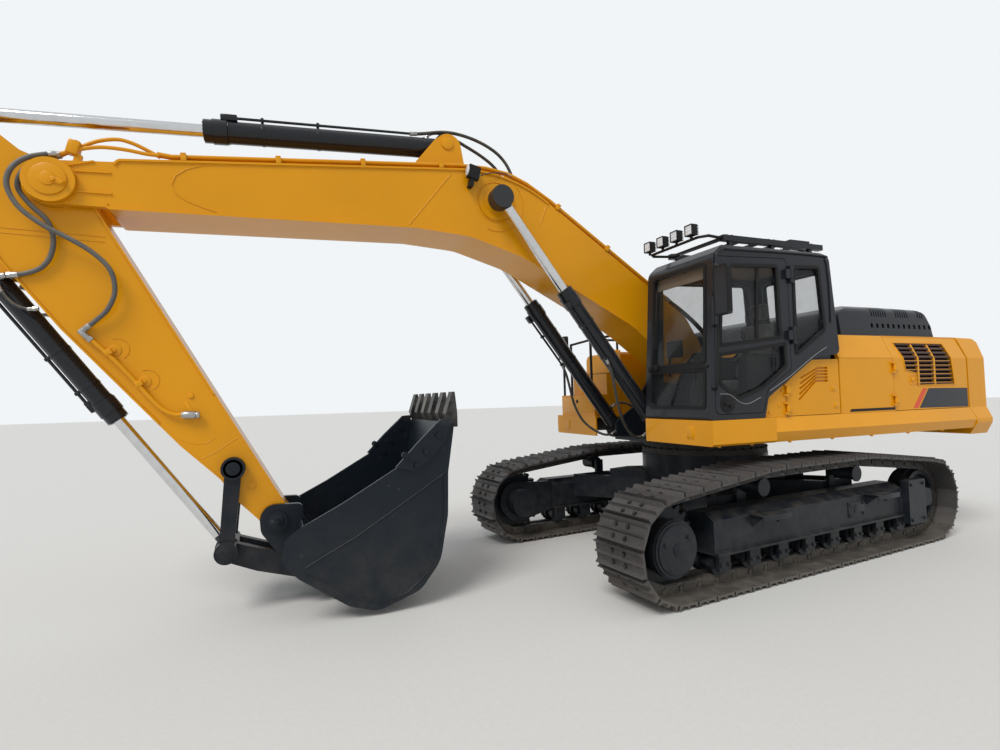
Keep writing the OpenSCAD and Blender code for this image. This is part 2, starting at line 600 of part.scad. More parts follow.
// Strip that lies between two depths behind the raked front of the cab
function rake(d0, d1) =
    let (lo = flat(cab_side[0]), hi = flat(cab_side[1]))
    [lo - [d1, 0], lo - [d0, 0], hi - [d0, 0], hi - [d1, 0]];
module cab_door() color(DARK) whole() {
    difference() {
        across(cab_y1 - cab_t, cab_y1) polygon(outline(door_rows, 5));
        across(cab_y1 - cab_t - 1, cab_y1 + 1) polygon(outline(reverse_rows(door_glass_top), 5));
        across(cab_y1 - cab_t - 1, cab_y1 + 1) polygon(outline(reverse_rows(door_glass_low), 5));
    }
    for (z = hinge_zs)
        difference() {
            union() {
                translate([hinge_at.x, hinge_at.y, z]) cylinder(r = 22, h = hinge_h, $fn = 32);
                block([hinge_at.x, cab_y1, z], [hinge_at.x + 75, hinge_at.y + 12, z + hinge_h]);
            }
            translate([hinge_at.x, hinge_at.y, z - 1]) cylinder(r = hinge_pin_r + run, h = hinge_h + 2, $fn = 32);
        }
}
module door_glass() color([0.6, 0.75, 0.8, 0.4]) whole() {
    pane_y(door_glass_top, cab_y1 - cab_t / 2);
    pane_y(door_glass_low, cab_y1 - cab_t / 2);
}
floor_z = deck_z + cab_t;
seat_y = 930;
module operator_seat() color("#2b2d30") whole() {
    block([120, seat_y - 190, floor_z], [480, seat_y + 190, floor_z + 200]);
    block([60, seat_y - 240, floor_z + 200], [580, seat_y + 240, floor_z + 330]);
    across(seat_y - 230, seat_y + 230) polygon(outline([
        [60, floor_z + 330, 0], [190, floor_z + 330, 20], [60, floor_z + 960, 40], [-60, floor_z + 960, 40],
        [-60, floor_z + 900, 20]], 4));
    across(seat_y - 130, seat_y + 130) polygon(outline([
        [30, floor_z + 960, 0], [20, floor_z + 1180, 40], [-70, floor_z + 1180, 40], [-50, floor_z + 960, 0]], 4));
}
module control_consoles() color(DARK) whole() {
    for (s = [-1, 1]) translate([0, seat_y + s * 300, 0]) {
        block([60, -55, floor_z], [560, 55, floor_z + 560]);
        translate([500, 0, floor_z + 560]) cylinder(r = 34, h = 50, $fn = 24);
        translate([500, 0, floor_z + 600]) rotate([0, 8, 0]) cylinder(r = 15, h = 170, $fn = 16);
    }
    // travel pedals and their levers
    for (s = [-1, 1]) {
        block([880, seat_y + s * 90 - 55, floor_z], [1050, seat_y + s * 90 + 55, floor_z + 60]);
        tube([[900, seat_y + s * 90, floor_z + 50], [830, seat_y + s * 90, floor_z + 420],
              [850, seat_y + s * 90, floor_z + 560]], 12, 12);
    }
}

// Roof guard: two rails with cross bars on short posts
rail_z = 3262;
rail_in = 105;
function roof_z(x) = cab_side[3][1] - (x - cab_side[3][0]) * (cab_side[3][1] - cab_side[2][1]) / (cab_side[2][0] - cab_side[3][0]);
module roof_guard() color(DARK) whole() {
    for (y = [cab_y0 + rail_in, cab_y1 - rail_in]) {
        block([-450, y - 30, rail_z - 28], [900, y + 30, rail_z + 28]);
        for (x = [-280, 250, 800])
            block([x - 20, y - 18, roof_z(x - 20) + seat], [x + 20, y + 18, rail_z - 20]);
    }
    for (i = [0:5])
        block([-400 + i * 250, cab_y0 + rail_in + 20, rail_z - 12], [-350 + i * 250, cab_y1 - rail_in - 20, rail_z + 12]);
    block([-390, cab_y1 - 280, rail_z + 10], [-110, cab_y1 - 180, rail_z + 90]);
}
lamp_x = 1140;
lamp_ys = [for (i = [0:3]) 590 + i * 215];
module work_lamps() color(DARK) whole() {
    tube([[904, cab_y0 + rail_in, rail_z], [lamp_x - 60, cab_y0 + 60, rail_z], [lamp_x, cab_y0 + 110, rail_z],
          [lamp_x, cab_y1 - 160, rail_z], [lamp_x - 60, cab_y1 - 80, rail_z], [904, cab_y1 - rail_in, rail_z]], 14, 16);
    for (y = lamp_ys) {
        block([lamp_x - 8, y - 12, rail_z + 5], [lamp_x + 8, y + 12, rail_z + 40]);
        block([lamp_x - 32, y - 52, rail_z + 38], [lamp_x + 32, y + 52, rail_z + 142]);
    }
}
module mirrors() color(DARK) whole() {
    block([1116, cab_y1, 2875], [1142, cab_y1 + 22, 2925]);
    tube([[1130, cab_y1 + 12, 2900], [1200, cab_y1 + 110, 2930], [1215, cab_y1 + 200, 2890]], 11, 12);
    block([1195, cab_y1 + 120, 2460], [1240, cab_y1 + 290, 2900]);
    // right hand mirror on a post at the front corner of the deck
    tube([[1160, tank_y0 + 30, deck_z + 270], [1160, tank_y0 + 30, 2300]], 16, 16);
    block([1140, tank_y0 - 70, 2290], [1180, tank_y0 + 130, 2600]);
}
module handrails() color(DARK) whole() {
    // grab rail up the steps of the tool box, and a rail along the tank
    tube([[1170, -640, deck_z + 270], [1170, -640, 2480], [760, -640, 2560], [320, -640, 2560], [320, -640, 2330]], 17, 16);
    tube([[1080, -1300, deck_z + 270], [1080, -1300, 2480], [760, -1300, 2560], [320, -1300, 2560], [320, -1300, 2330]], 17, 16);
}

// Engine bay: block, radiator behind the grille, fixed panels, roof frame
engine_z = deck_z + 10;
foot_y = long_y0 + long_t + side_gap;
module engine_block() color("#4a4f45") whole() {
    block([-1750, -440, engine_z], [-750, 440, 2200]);
    for (x = [-1700, -880])
        both_sides() block([x, foot_y, skirt_z], [x + 80, foot_y + 60, engine_z]);
}
module radiator() color("#3a2f2a") whole() {
    block([-2440, 900, deck_z], [-1560, 1080, 2240]);
}
roof_hw = house_hw - 120;
house_rows = [
    [house_hw, deck_z, 0], [house_hw, crease_z, 30], [roof_hw, hood_z, 30],
    [-roof_hw, hood_z, 30], [-house_hw, crease_z, 30], [-house_hw, deck_z, 0]
];
// Closed shell of the engine housing between two places along X
module house_shell(x0, x1, t = panel_t) {
    difference() {
        along_x(x0, x1) polygon(outline(house_rows, 3));
        along_x(x0 - 1, x1 + 1) polygon(outline(inset(house_rows, t), 3));
        block([x0 - 1, -house_hw - 1, deck_z - 1], [x1 + 1, house_hw + 1, deck_z + t]);
    }
    for (s = [-1, 1])
        block([x0, s > 0 ? house_hw - t : -house_hw, deck_z], [x1, s > 0 ? house_hw : -house_hw + t, deck_z + t + 1]);
}
house_front = -580;
firewall_z = 2060;
house_seam = -1430;
lid_hw = 1250;
// Hinges stand outside the panels: knuckle and pin radius, height of a knuckle, and their places
knuckle_r = 18;
knuckle_pin_r = 10;
knuckle_h = 70;
knuckle_y = house_hw + knuckle_r;
door_knuckles = [1600, 1960];
side_knuckles = [1560, 1740];
lid_knuckles = [-700, 630];
grille_hinge_x = house_seam - door_gap / 2;
side_hinge_x = 200;
lid_hinge = [-640 + door_gap / 2, hood_z + knuckle_r];
// Upright pin on a fixed panel (to = side where the panel is, along X)
module hinge_pin(x, to, zs) {
    for (z = zs) {
        translate([x, knuckle_y, z - 20]) cylinder(r = knuckle_pin_r, h = knuckle_h + 40, $fn = 24);
        for (e = [z - 25, z + knuckle_h + side_gap]) {
            translate([x, knuckle_y, e]) cylinder(r = knuckle_pin_r + 3, h = 20, $fn = 32);
            block([min(x, x + to * 45), house_hw, e], [max(x, x + to * 45), knuckle_y + 12, e + 20]);
        }
    }
}
module knuckle(x, to, zs) {
    for (z = zs)
        difference() {
            union() {
                translate([x, knuckle_y, z]) cylinder(r = knuckle_r, h = knuckle_h, $fn = 32);
                block([min(x, x + to * 60), house_hw, z], [max(x, x + to * 60), knuckle_y, z + knuckle_h]);
            }
            translate([x, knuckle_y, z - 1]) cylinder(r = knuckle_pin_r + run, h = knuckle_h + 2, $fn = 32);
        }
}
module left_panel() color(YELLOW) whole() {
    intersection() {
        house_shell(house_seam, house_front);
        block([-3000, lid_hw + door_gap, deck_z - 10], [0, 2000, 2600]);
    }
    // fixed corner panel in front of the side door
    across(house_hw - panel_t, house_hw) polygon([[205, deck_z], [535, deck_z], [483, 1700], [205, 1868]]);
    // firewall between the cab and the engine bay
    block([house_front - 30, long_y0 + long_t + 80, deck_z], [house_front, house_hw - panel_t, firewall_z]);
    hinge_pin(grille_hinge_x, 1, door_knuckles);
    hinge_pin(side_hinge_x, 1, side_knuckles);
}
module right_panel() color(YELLOW) whole() {
    intersection() {
        house_shell(house_seam, house_front);
        block([-3000, -2000, deck_z - 10], [0, -lid_hw - door_gap, 2600]);
    }
    mirror([0, 1, 0]) hinge_pin(grille_hinge_x, 1, door_knuckles);
}
lid_x0 = -2540;
lid_x1 = -640;
module hood_deck() color(YELLOW) whole() {
    // roof strips in front of and behind the lid
    block([weight_front + seat, -lid_hw, hood_z - panel_t], [lid_x0 - door_gap, lid_hw, hood_z]);
    block([lid_x1 + door_gap, -lid_hw, hood_z - panel_t], [house_front, lid_hw, hood_z]);
    // side strips beside the lid, over the doors
    both_sides()
        block([weight_front + seat, lid_hw + door_gap, hood_z - panel_t], [house_seam - seat, roof_hw - side_gap, hood_z]);
    both_sides()
        block([weight_front + seat, lid_hw - 20, hood_z - panel_t], [lid_x0 - door_gap, roof_hw - side_gap, hood_z]);
    for (y = lid_knuckles) {
        bar_y(lid_hinge, knuckle_pin_r, y - 20, y + knuckle_h + 20, 24);
        for (e = [y - 25, y + knuckle_h + side_gap])
            block([lid_hinge.x - 12, e, hood_z - 2], [house_front - 5, e + 20, lid_hinge.y + 12]);
    }
    block([house_front - 30, -lid_hw + 180, firewall_z + seat], [house_front, lid_hw - 180, hood_z - panel_t]);
}
hump_rows = [
    [-2510, hood_z, 0], [-890, hood_z, 0], [-905, 2640, 130], [-1200, 2735, 250], [-1900, 2750, 0],
    [-2400, 2695, 180], [-2500, 2500, 80]
];
hump_section = [
    [-lid_hw + 20, hood_z - 1, 0], [lid_hw - 20, hood_z - 1, 0], [lid_hw - 60, 2690, 90],
    [lid_hw - 330, 2760, 150], [-lid_hw + 330, 2760, 150], [-lid_hw + 60, 2690, 90]
];
hood_t = 15;
// Cooling slots: three groups high on the sides as [first x, count], and a row of square holes below
slot_groups = [[-1462, 7], [-1888, 6], [-2288, 3]];
slot_step = 40;
slot_xs = [for (g = slot_groups, i = [0:g[1] - 1]) g[0] - i * slot_step];
hole_xs = [for (i = [0:11]) -1436 - i * 94];
exhaust_at = [-1600, -700];
exhaust_r = 60;
module engine_hood() color(DARK) whole() {
    difference() {
        union() {
            block([lid_x0, -lid_hw, hood_z - hood_t], [lid_x1, lid_hw, hood_z]);
            for (y = lid_knuckles) {
                bar_y(lid_hinge, knuckle_r, y, y + knuckle_h, 32);
                block([lid_x1 - 60, y, hood_z - 5], [lid_hinge.x, y + knuckle_h, lid_hinge.y]);
            }
            intersection() {
                across(-lid_hw, lid_hw) polygon(outline(reverse_rows(hump_rows), 5));
                along_x(-2600, -900) polygon(outline(hump_section, 5));
            }
        }
        intersection() {
            across(-lid_hw, lid_hw) translate([0, -hood_t - 4]) polygon(outline(inset(reverse_rows(hump_rows), hood_t), 5));
            along_x(-2600, -900) translate([0, -hood_t - 4]) polygon(outline(inset(hump_section, hood_t), 5));
        }
        for (y = lid_knuckles) bar_y(lid_hinge, knuckle_pin_r + run, y - 1, y + knuckle_h + 1, 32);
        for (x = slot_xs)
            block([x - 9, -lid_hw, 2595], [x + 9, lid_hw, 2712]);
        for (x = hole_xs)
            block([x - 20, -lid_hw, 2462], [x + 20, lid_hw, 2512]);
        translate([exhaust_at.x, exhaust_at.y, 2600]) cylinder(r = exhaust_r + seat, h = 200, $fn = 36);
        // the pins' brackets pass the front edge of the lid
        for (y = lid_knuckles, e = [y - 25, y + knuckle_h + side_gap])
            block([lid_hinge.x - 12 - side_gap, e - side_gap + 0.5, hood_z - 20], [lid_hinge.x + 20, e + 20 + side_gap - 0.5, hood_z + 60]);
    }
}
// Side doors of the engine housing. The grille has three columns of louvres.
grille_rows = [
    [-2520, 1790, 20], [-1830, 1790, 20], [-1830, 1925, 20], [-1640, 1960, 20], [-1560, 2275, 20], [-2450, 2275, 20]
];
louvre_count = 10;
module grille_opening(sign) {
    scale([1, sign, 1]) across(house_hw - 300, house_hw + 60) polygon(outline(reverse_rows(grille_rows), 3));
}
module housing_door(sign) {
    scale([1, sign, 1]) {
        difference() {
            intersection() {
                house_shell(weight_front + 30, house_seam - door_gap);
                block([-3000, roof_hw + 1, deck_z + door_gap], [0, 2000, hood_z - 20]);
            }
            grille_opening(1);
        }
        // louvre blades and the two bars between the columns, on the same slope as the panel
        intersection() {
            union() {
                for (i = [0:louvre_count - 1])
                    block([-2560, house_hw - 240, 1805 + i * 50], [-1500, house_hw + 50, 1805 + i * 50 + 16]);
                for (x = [-2170, -1880])
                    block([x - 14, house_hw - 240, 1780], [x + 14, house_hw + 50, 2290]);
            }
            along_x(-2560, -1500) polygon(outline(inset(house_rows, 6), 3));
            difference() {
                block([-2560, 900, 1780], [-1500, 1500, 2290]);
                along_x(-2570, -1490) polygon(outline(inset(house_rows, panel_t - 4), 3));
            }
            grille_opening(1);
        }
        knuckle(grille_hinge_x, -1, door_knuckles);
    }
}
module radiator_door() color(YELLOW) whole() housing_door(1);
module pump_door() color(YELLOW) whole() housing_door(-1);
side_door_rows = [
    [-560, deck_z + 6, 10], [196, deck_z + 6, 10], [196, 1845, 10], [-150, 2076, 30], [-560, 2086, 10]
];
chevron_count = 5;
module front_side_door() color(YELLOW) whole() {
    difference() {
        across(house_hw - panel_t, house_hw) polygon(outline(side_door_rows, 3));
        // bent louvre slots
        for (i = [0:chevron_count - 1])
            across(house_hw - panel_t - 1, house_hw + 1)
                polygon([[20 - i * 8, 1660 + i * 55], [-230 - i * 8, 1850 + i * 55 - i * 22],
                         [-400, 1850 + i * 55 - i * 22], [-400, 1872 + i * 55 - i * 22],
                         [-222 - i * 8, 1872 + i * 55 - i * 22], [34 - i * 8, 1680 + i * 55]]);
    }
    knuckle(side_hinge_x, -1, side_knuckles);
}

// Counterweight: casting with a round tail, sloped shoulders and a bevelled top edge
weight_side = [
    [-tail_r - 10, 1300, 0], [-tail_r + 250, 1190, 60], [weight_front, 1190, 20], [weight_front, hood_z, 0],
    [-tail_r + 330, hood_z - 10, 60], [-tail_r + 60, 2120, 60], [-tail_r - 10, 2060, 0]
];
weight_section = [
    [-body_hw + 90, 1190, 0], [body_hw - 90, 1190, 0], [body_hw, 1330, 60], [body_hw, 1380, 0],
    [house_hw, deck_z, 0], [house_hw, crease_z, 50], [house_hw - 110, hood_z, 40],
    [-house_hw + 110, hood_z, 40], [-house_hw, crease_z, 50], [-house_hw, deck_z, 0],
    [-body_hw, 1380, 0], [-body_hw, 1330, 60]
];
eye_r = 32;
eye_at = [-2960, hood_z + 55];
module counterweight() color(YELLOW) whole() {
    difference() {
        intersection() {
            across(-body_hw, body_hw) polygon(outline(reverse_rows(weight_side), 4));
            along_x(-tail_r, weight_front) polygon(outline(weight_section, 4));
            translate([0, 0, 1100]) cylinder(r = tail_r, h = 1400, $fn = 180);
        }
        // filled chamber is lighter than the casting
        block([-tail_r + 300, -body_hw + 200, 1360], [weight_front - 90, body_hw - 200, 2160]);
    }
    // lifting eyes
    for (s = [-1, 1])
        difference() {
            across(s * 900 - 25, s * 900 + 25)
                polygon(outline([[eye_at.x - 100, hood_z - 40, 0], [eye_at.x + 100, hood_z - 40, 0],
                                 [eye_at.x + 70, eye_at.y + 55, 50], [eye_at.x - 70, eye_at.y + 55, 50]], 4));
            bar_y(eye_at, eye_r, s * 900 - 30, s * 900 + 30, 36);
        }
}

// Right hand side: tanks, tool box with its steps
tank_y0 = -1400;
tank_y1 = -560;
module fuel_tank() color(YELLOW) whole()
    difference() {
        along_x(310, 780) polygon(outline([[tank_y0, deck_z, 20], [tank_y1, deck_z, 20], [tank_y1, 2330, 50], [tank_y0, 2330, 90]], 4));
        block([330, tank_y0 + 20, deck_z + 20], [760, tank_y1 - 20, 2310]);
    }
module hydraulic_tank() color(YELLOW) whole() {
    difference() {
        along_x(-560, 300) polygon(outline([[tank_y0, deck_z, 20], [tank_y1, deck_z, 20], [tank_y1, 2330, 50], [tank_y0, 2330, 90]], 4));
        block([-540, tank_y0 + 20, deck_z + 20], [280, tank_y1 - 20, 2310]);
    }
    translate([-130, -980, 2330]) cylinder(r = 90, h = 35, $fn = 36);
}
module tool_box() color(YELLOW) whole() {
    block([790, tank_y0, deck_z], [1190, tank_y1, deck_z + 270]);
    block([790, tank_y0, deck_z + 270], [1000, tank_y1, deck_z + 540]);
}
// The exhaust passes through the lid and opens with it
module exhaust_pipe() color(DARK) whole() translate([exhaust_at.x, exhaust_at.y, 0]) {
    translate([0, 0, 2660]) cylinder(r = exhaust_r, h = 230, $fn = 36);
    translate([0, 0, 2870]) rotate([0, -50, 0]) cylinder(r = exhaust_r - 1, h = 110, $fn = 36);
}

// Boom: closed box with a fork at the nose
boom_rows = [
    [120, -130, 60], [1000, 245, 900], [2450, 610, 900], [3050, 645, 700], [3600, 555, 900], [6040, -100, 40],
    [6063, 322, 60], [2791, 1467, 1500], [300, 545, 300], [-150, 110, 90]
];
nose_cheek_t = 55;
nose_face = 334;
arm_hub_hw = 220;
boom_foot_hw = boom_hw;
cyl_boss_face = boom_hw + 10;
module boom() color(YELLOW) at_boom() {
    difference() {
        union() {
            difference() {
                union() {
                    across(-boom_hw, boom_hw) polygon(outline(boom_rows, 8));
                    bar_y([0, 0], 165, -boom_foot_hw, boom_foot_hw, 64);
                }
                // inside of the welded box
                across(-boom_hw + plate_t, boom_hw - plate_t)
                    polygon(outline(inset([[260, -10, 20], [1000, 245, 900], [2450, 610, 900], [3050, 645, 700],
                                     [3600, 555, 900], [5900, -62, 20], [5900, 378, 20], [2791, 1467, 1500],
                                     [300, 545, 300], [200, 430, 20]], plate_t), 8));
            }
            // bosses of the cylinder pins
            bar_y(boom_cyl_eye, 190, -cyl_boss_face, cyl_boss_face, 64);
            // ears that hold the arm cylinder
            both_sides()
                across(arm_ear_y, arm_ear_y + cyl_ear_t)
                    polygon(outline([[3180, 1290, 0], [3800, 1090, 0], [3580, 1560, 125], [3470, 1700, 125], [3330, 1640, 125]], 5));
            // nose fork
            for (s = [-1, 1]) {
                across(s > 0 ? boom_hw - nose_cheek_t : -boom_hw, s > 0 ? boom_hw : -boom_hw + nose_cheek_t)
                    polygon([[5880, -40], [boom_len - 37, -165], [boom_len + 59, 158], [5880, 360]]);
                bar_y([boom_len, 0], 172, s > 0 ? boom_hw - nose_cheek_t : -nose_face,
                      s > 0 ? nose_face : -boom_hw + nose_cheek_t, 64);
            }
        }
        // slot for the hub of the arm
        block([boom_len - 372, -boom_hw + nose_cheek_t, -400], [boom_len + 300, boom_hw - nose_cheek_t, 600]);
        bar_y([0, 0], foot_pin_r + run, -boom_hw - 1, boom_hw + 1, 48);
    }
    bar_y([boom_len, 0], nose_pin_r, -nose_face - 12, nose_face + 12, 48);
    bar_y(arm_cyl_base, cyl_pin_r, -arm_ear_y - cyl_ear_t - 12, arm_ear_y + cyl_ear_t + 12, 36);
}
pipe_r = 16;
pipe_rise = 44;
pipe_ys = [boom_hw - 52, boom_hw - 15];
// Height of the boom's top flange at x, with the crest left sharp, and its slope angle
crest = boom_rows[7];
heel_top = boom_rows[8];
nose_top = boom_rows[6];
rear_slope = (crest[1] - heel_top[1]) / (crest[0] - heel_top[0]);
front_slope = (nose_top[1] - crest[1]) / (nose_top[0] - crest[0]);
function flange_z(x) = x < crest[0] ? heel_top[1] + (x - heel_top[0]) * rear_slope : crest[1] + (x - crest[0]) * front_slope;
pipe_points = [
    [600, flange_z(600) + pipe_rise], [2270, flange_z(2270) + pipe_rise], [2560, flange_z(2560) + 20],
    [crest[0], crest[1] - 36], [3030, flange_z(3030) + 20], [3310, flange_z(3310) + pipe_rise],
    [5700, flange_z(5700) + pipe_rise], [5800, flange_z(5800) + pipe_rise + 20]
];
clamp_xs = [760, 1500, 2180, 3480, 4200, 4900, 5600];
module boom_pipes() color(YELLOW) at_boom() {
    for (s = [-1, 1]) {
        for (y = pipe_ys)
            tube([for (p = pipe_points) [p.x, s * y, p.y]], pipe_r, 12);
        // clamps stand on the top flange and hold both pipes
        for (x = clamp_xs)
            translate([x, s * (pipe_ys[0] + pipe_ys[1]) / 2, flange_z(x)])
                rotate([0, -atan(x < crest[0] ? rear_slope : front_slope), 0])
                    block([-20, -34, seat], [20, 34, pipe_rise + 4]);
    }
}
module boom_lamp() color(DARK) at_boom() {
    block([3150, boom_hw, 1120], [3190, boom_hw + 90, 1200]);
    block([3110, boom_hw + 40, 1200], [3230, boom_hw + 100, 1330]);
}

// Arm: closed box, ears at the tail for the rod of its cylinder
arm_rows = [
    [-60, -165, 80], [3130, -127, 60], [arm_len, -122, 0], [arm_len, 116, 0], [3105, 122, 20], [2900, 172, 20],
    [2650, 190, 60], [2237, 299, 0], [1009, 526, 300], [380, 600, 200], [-300, 590, 200],
    [-885, 516, 0], [-917, 250, 0], [-480, 119, 40], [-330, 65, 40], [-150, -72, 60]
];
tail_slot_x = -440;
module arm() color(YELLOW) at_arm() {
    difference() {
        union() {
            difference() {
                across(-arm_hw, arm_hw) polygon(outline(arm_rows, 6));
                across(-arm_hw + plate_t, arm_hw - plate_t)
                    polygon(outline(inset([[-200, -40, 20], [120, -165, 20], [2980, -130, 20], [2900, 172, 20], [2650, 190, 60],
                        [2237, 299, 0], [1009, 526, 300], [380, 600, 200], [-300, 590, 60], [-380, 300, 20]], plate_t), 6));
            }
            bar_y([0, 0], 182, -arm_hub_hw, arm_hub_hw, 64);
            bar_y(arm_cyl_eye, tail_eye_r, -arm_hw, arm_hw, 64);
            bar_y([arm_len, 0], 131, -arm_hw, arm_hw, 64);
            bar_y(rocker_pin, 95, -arm_hw, arm_hw, 48);
            both_sides()
                across(bucket_ear_y, bucket_ear_y + cyl_ear_t)
                    polygon(outline([[60, 585, 0], [520, 570, 0], [350, 800, 100], [250, 860, 100], [150, 800, 100]], 5));
        }
        // slot for the rod eye, open to the tail
        block([-1300, -97, -600], [tail_slot_x, 97, 900]);
        bar_y([0, 0], nose_pin_r + run, -arm_hub_hw - 1, arm_hub_hw + 1, 48);
        bar_y(rocker_pin, rocker_pin_r + run, -arm_hw - 1, arm_hw + 1, 48);
        bar_y([arm_len, 0], bucket_pin_r + run, -arm_hw - 1, arm_hw + 1, 48);
    }
    bar_y(bucket_cyl_base, cyl_pin_r, -bucket_ear_y - cyl_ear_t - 12, bucket_ear_y + cyl_ear_t + 12, 36);
    both_sides() bar_y(arm_cyl_eye, 95, arm_hw, arm_hw + 20, 48);
}

// Bucket: rolled shell between two side plates, ears over the arm and the push link
ear_y0 = arm_hw + side_gap;
ear_t = 55;
bucket_side = [
    [-180, 23, 30], [-500, 183, 60], [-940, 433, 0], [-1290, 800, 0], [-1460, 790, 40], [-1395, 370, 200], [-1385, 0, 300],
    [-1310, -390, 300], [-1130, -610, 200], [-770, -728, 250], [-540, -655, 60], [-150, -380, 120],
    [-20, -240, 80], [-60, -60, 60]
];
bucket_inner = [
    [-215, -30, 20], [-330, -180, 60], [-560, -470, 160], [-780, -600, 160], [-1080, -520, 260], [-1250, -330, 300],
    [-1340, 0, 300], [-1350, 370, 200], [-1420, 800, 0], [-1200, 900, 0], [-600, 700, 0], [-215, 300, 0]
];
shell_rows = [
    [-190, 20, 10], [-175, -40, 20], [-300, -200, 60], [-540, -505, 160], [-770, -700, 200], [-1110, -580, 260], [-1290, -370, 300],
    [-1375, 0, 300], [-1385, 370, 200], [-1455, 800, 0], [-1425, 800, 0], [-1350, 370, 200], [-1340, 0, 300],
    [-1255, -350, 300], [-1085, -545, 260], [-780, -655, 200], [-570, -480, 160], [-330, -180, 60], [-215, -30, 20]
];
// Side cutters are bolted to the side plates along their upper edge
side_cutter = [
    [-930, 445, 0], [-1090, 400, 30], [-1230, 500, 30], [-1360, 640, 30], [-1440, 840, 15], [-1330, 835, 15],
    [-1120, 640, 60]
];
cutter_t = 32;
module bucket() color(DARK) at_bucket() {
    across(-bucket_hw + bucket_t, bucket_hw - bucket_t) polygon(outline(reverse_rows(shell_rows), 5));
    both_sides() {
        across(bucket_hw - bucket_t, bucket_hw) polygon(outline(reverse_rows(bucket_side), 5));
        across(bucket_hw, bucket_hw + cutter_t) polygon(outline(reverse_rows(side_cutter), 4));
    }
    // ears
    both_sides()
        difference() {
            across(ear_y0, ear_y0 + ear_t) polygon(outline(reverse_rows([
                [140, 60, 130], [60, 140, 120], [-230, 130, 60], [-215, 0, 0], [-330, -180, 0], [-570, -485, 0], [-420, -570, 60],
                [push_pin.x - 40, push_pin.y - 130, 100], [push_pin.x + 110, push_pin.y - 90, 110],
                [push_pin.x + 110, push_pin.y + 60, 110], [10, -260, 100], [130, -90, 120]]), 6));
            across(ear_y0 - 1, ear_y0 + ear_t + 1) polygon(outline(reverse_rows(bucket_inner), 5));
        }
    // bucket pin and push link pin are part of the bucket
    bar_y([0, 0], bucket_pin_r, -ear_y0, ear_y0, 48);
    bar_y(push_pin, push_pin_r, -ear_y0, ear_y0, 48);
    both_sides() bar_y([0, 0], 85, ear_y0 + ear_t, ear_y0 + ear_t + 30, 48);
}
tooth_w = 110;
tooth_edge = bucket_hw - bucket_t - tooth_w / 2 - 2;
tooth_ys = [for (i = [0:tooth_count - 1]) tooth_edge * (2 * i / (tooth_count - 1) - 1)];
tooth_rows = [
    [-1455, 800, 0], [-1425, 800, 0], [-1395, 880, 0], [-1455, 1073, 0], [-1480, 1073, 0], [-1500, 880, 0], [-1500, 760, 0], [-1462, 760, 0]
];
module bucket_teeth() color("#3d3a36") at_bucket()
    for (y = tooth_ys)
        across(y - tooth_w / 2, y + tooth_w / 2) polygon(outline(reverse_rows(tooth_rows), 3));

// Links of the bucket gear
rocker_y0 = arm_hw + side_gap;
rocker_t = 50;
link_len = norm(link_pin - rocker_at);
module rocker_links() color(DARK) whole() {
    for (s = [-1, 1]) {
        near = s * rocker_y0;
        between(rocker_at, link_pin)
            across(min(near, near + s * rocker_t), max(near, near + s * rocker_t))
                polygon([[60, -64], [link_len - 60, -58], [link_len - 60, 58], [60, 64]]);
        bar_y(rocker_at, 95, min(near + s * 2, near + s * (rocker_t + 40)), max(near + s * 2, near + s * (rocker_t + 40)), 48);
        bar_y(link_pin, 92, min(near - s * 8, near + s * (rocker_t + 35)), max(near - s * 8, near + s * (rocker_t + 35)), 48);
    }
    bar_y(rocker_at, rocker_pin_r, -rocker_y0 - 10, rocker_y0 + 10, 48);
}
link_half = arm_hw - 8;
rod_slot = 105;
module push_link() color(DARK) whole() {
    v = link_pin - push_at;
    l = norm(v);
    difference() {
        between(push_at, link_pin) {
            difference() {
                across(-link_half, link_half)
                    polygon(outline([[-95, -90, 88], [l * 0.6, -110, 60], [l + 92, -80, 80], [l + 92, 80, 80],
                                     [l * 0.6, 75, 60], [-95, 90, 88]], 6));
                block([l * 0.42, -rod_slot, -300], [l + 200, rod_slot, 300]);
            }
        }
        bar_y(push_at, push_pin_r + run, -link_half - 1, link_half + 1, 48);
    }
}

// Hydraulic cylinders: c = [barrel radius, rod radius, barrel length, rod length inside, eye radius]
module barrel(p, q, c, y, eye_hw, pin_r) {
    translate([0, y, 0]) between(p, q)
        difference() {
            union() {
                bar_y([0, 0], c[4], -eye_hw, eye_hw, 48);
                rotate([0, 90, 0]) translate([0, 0, c[4] * 0.8]) cylinder(r = c[0], h = c[2] - c[4] * 0.8, $fn = 48);
                rotate([0, 90, 0]) translate([0, 0, c[2] - 190]) cylinder(r = c[0] + 12, h = 120, $fn = 48);
                rotate([0, 90, 0]) translate([0, 0, c[2] - 70]) cylinder(r = c[0] + 4, h = 70, $fn = 48);
            }
            bar_y([0, 0], pin_r + run, -eye_hw - 60, eye_hw + 60, 48);
            rotate([0, 90, 0]) translate([0, 0, c[4] + 20]) cylinder(r = c[1] + run, h = c[2], $fn = 48);
        }
}
module rod(p, q, c, y, eye_hw) {
    l = norm(q - p);
    translate([0, y, 0]) between(p, q) {
        rotate([0, 90, 0]) translate([0, 0, c[2] - c[3]]) cylinder(r = c[1], h = l - c[2] + c[3] - c[4] * 0.8, $fn = 48);
        bar_y([l, 0], c[4], -eye_hw, eye_hw, 48);
    }
}
module boom_cylinder_barrels() color(DARK) whole()
    for (s = [-1, 1]) barrel(boom_cyl_base, boom_eye_at, boom_cyl, s * boom_cyl_y, boom_eye_hw, cyl_pin_r);
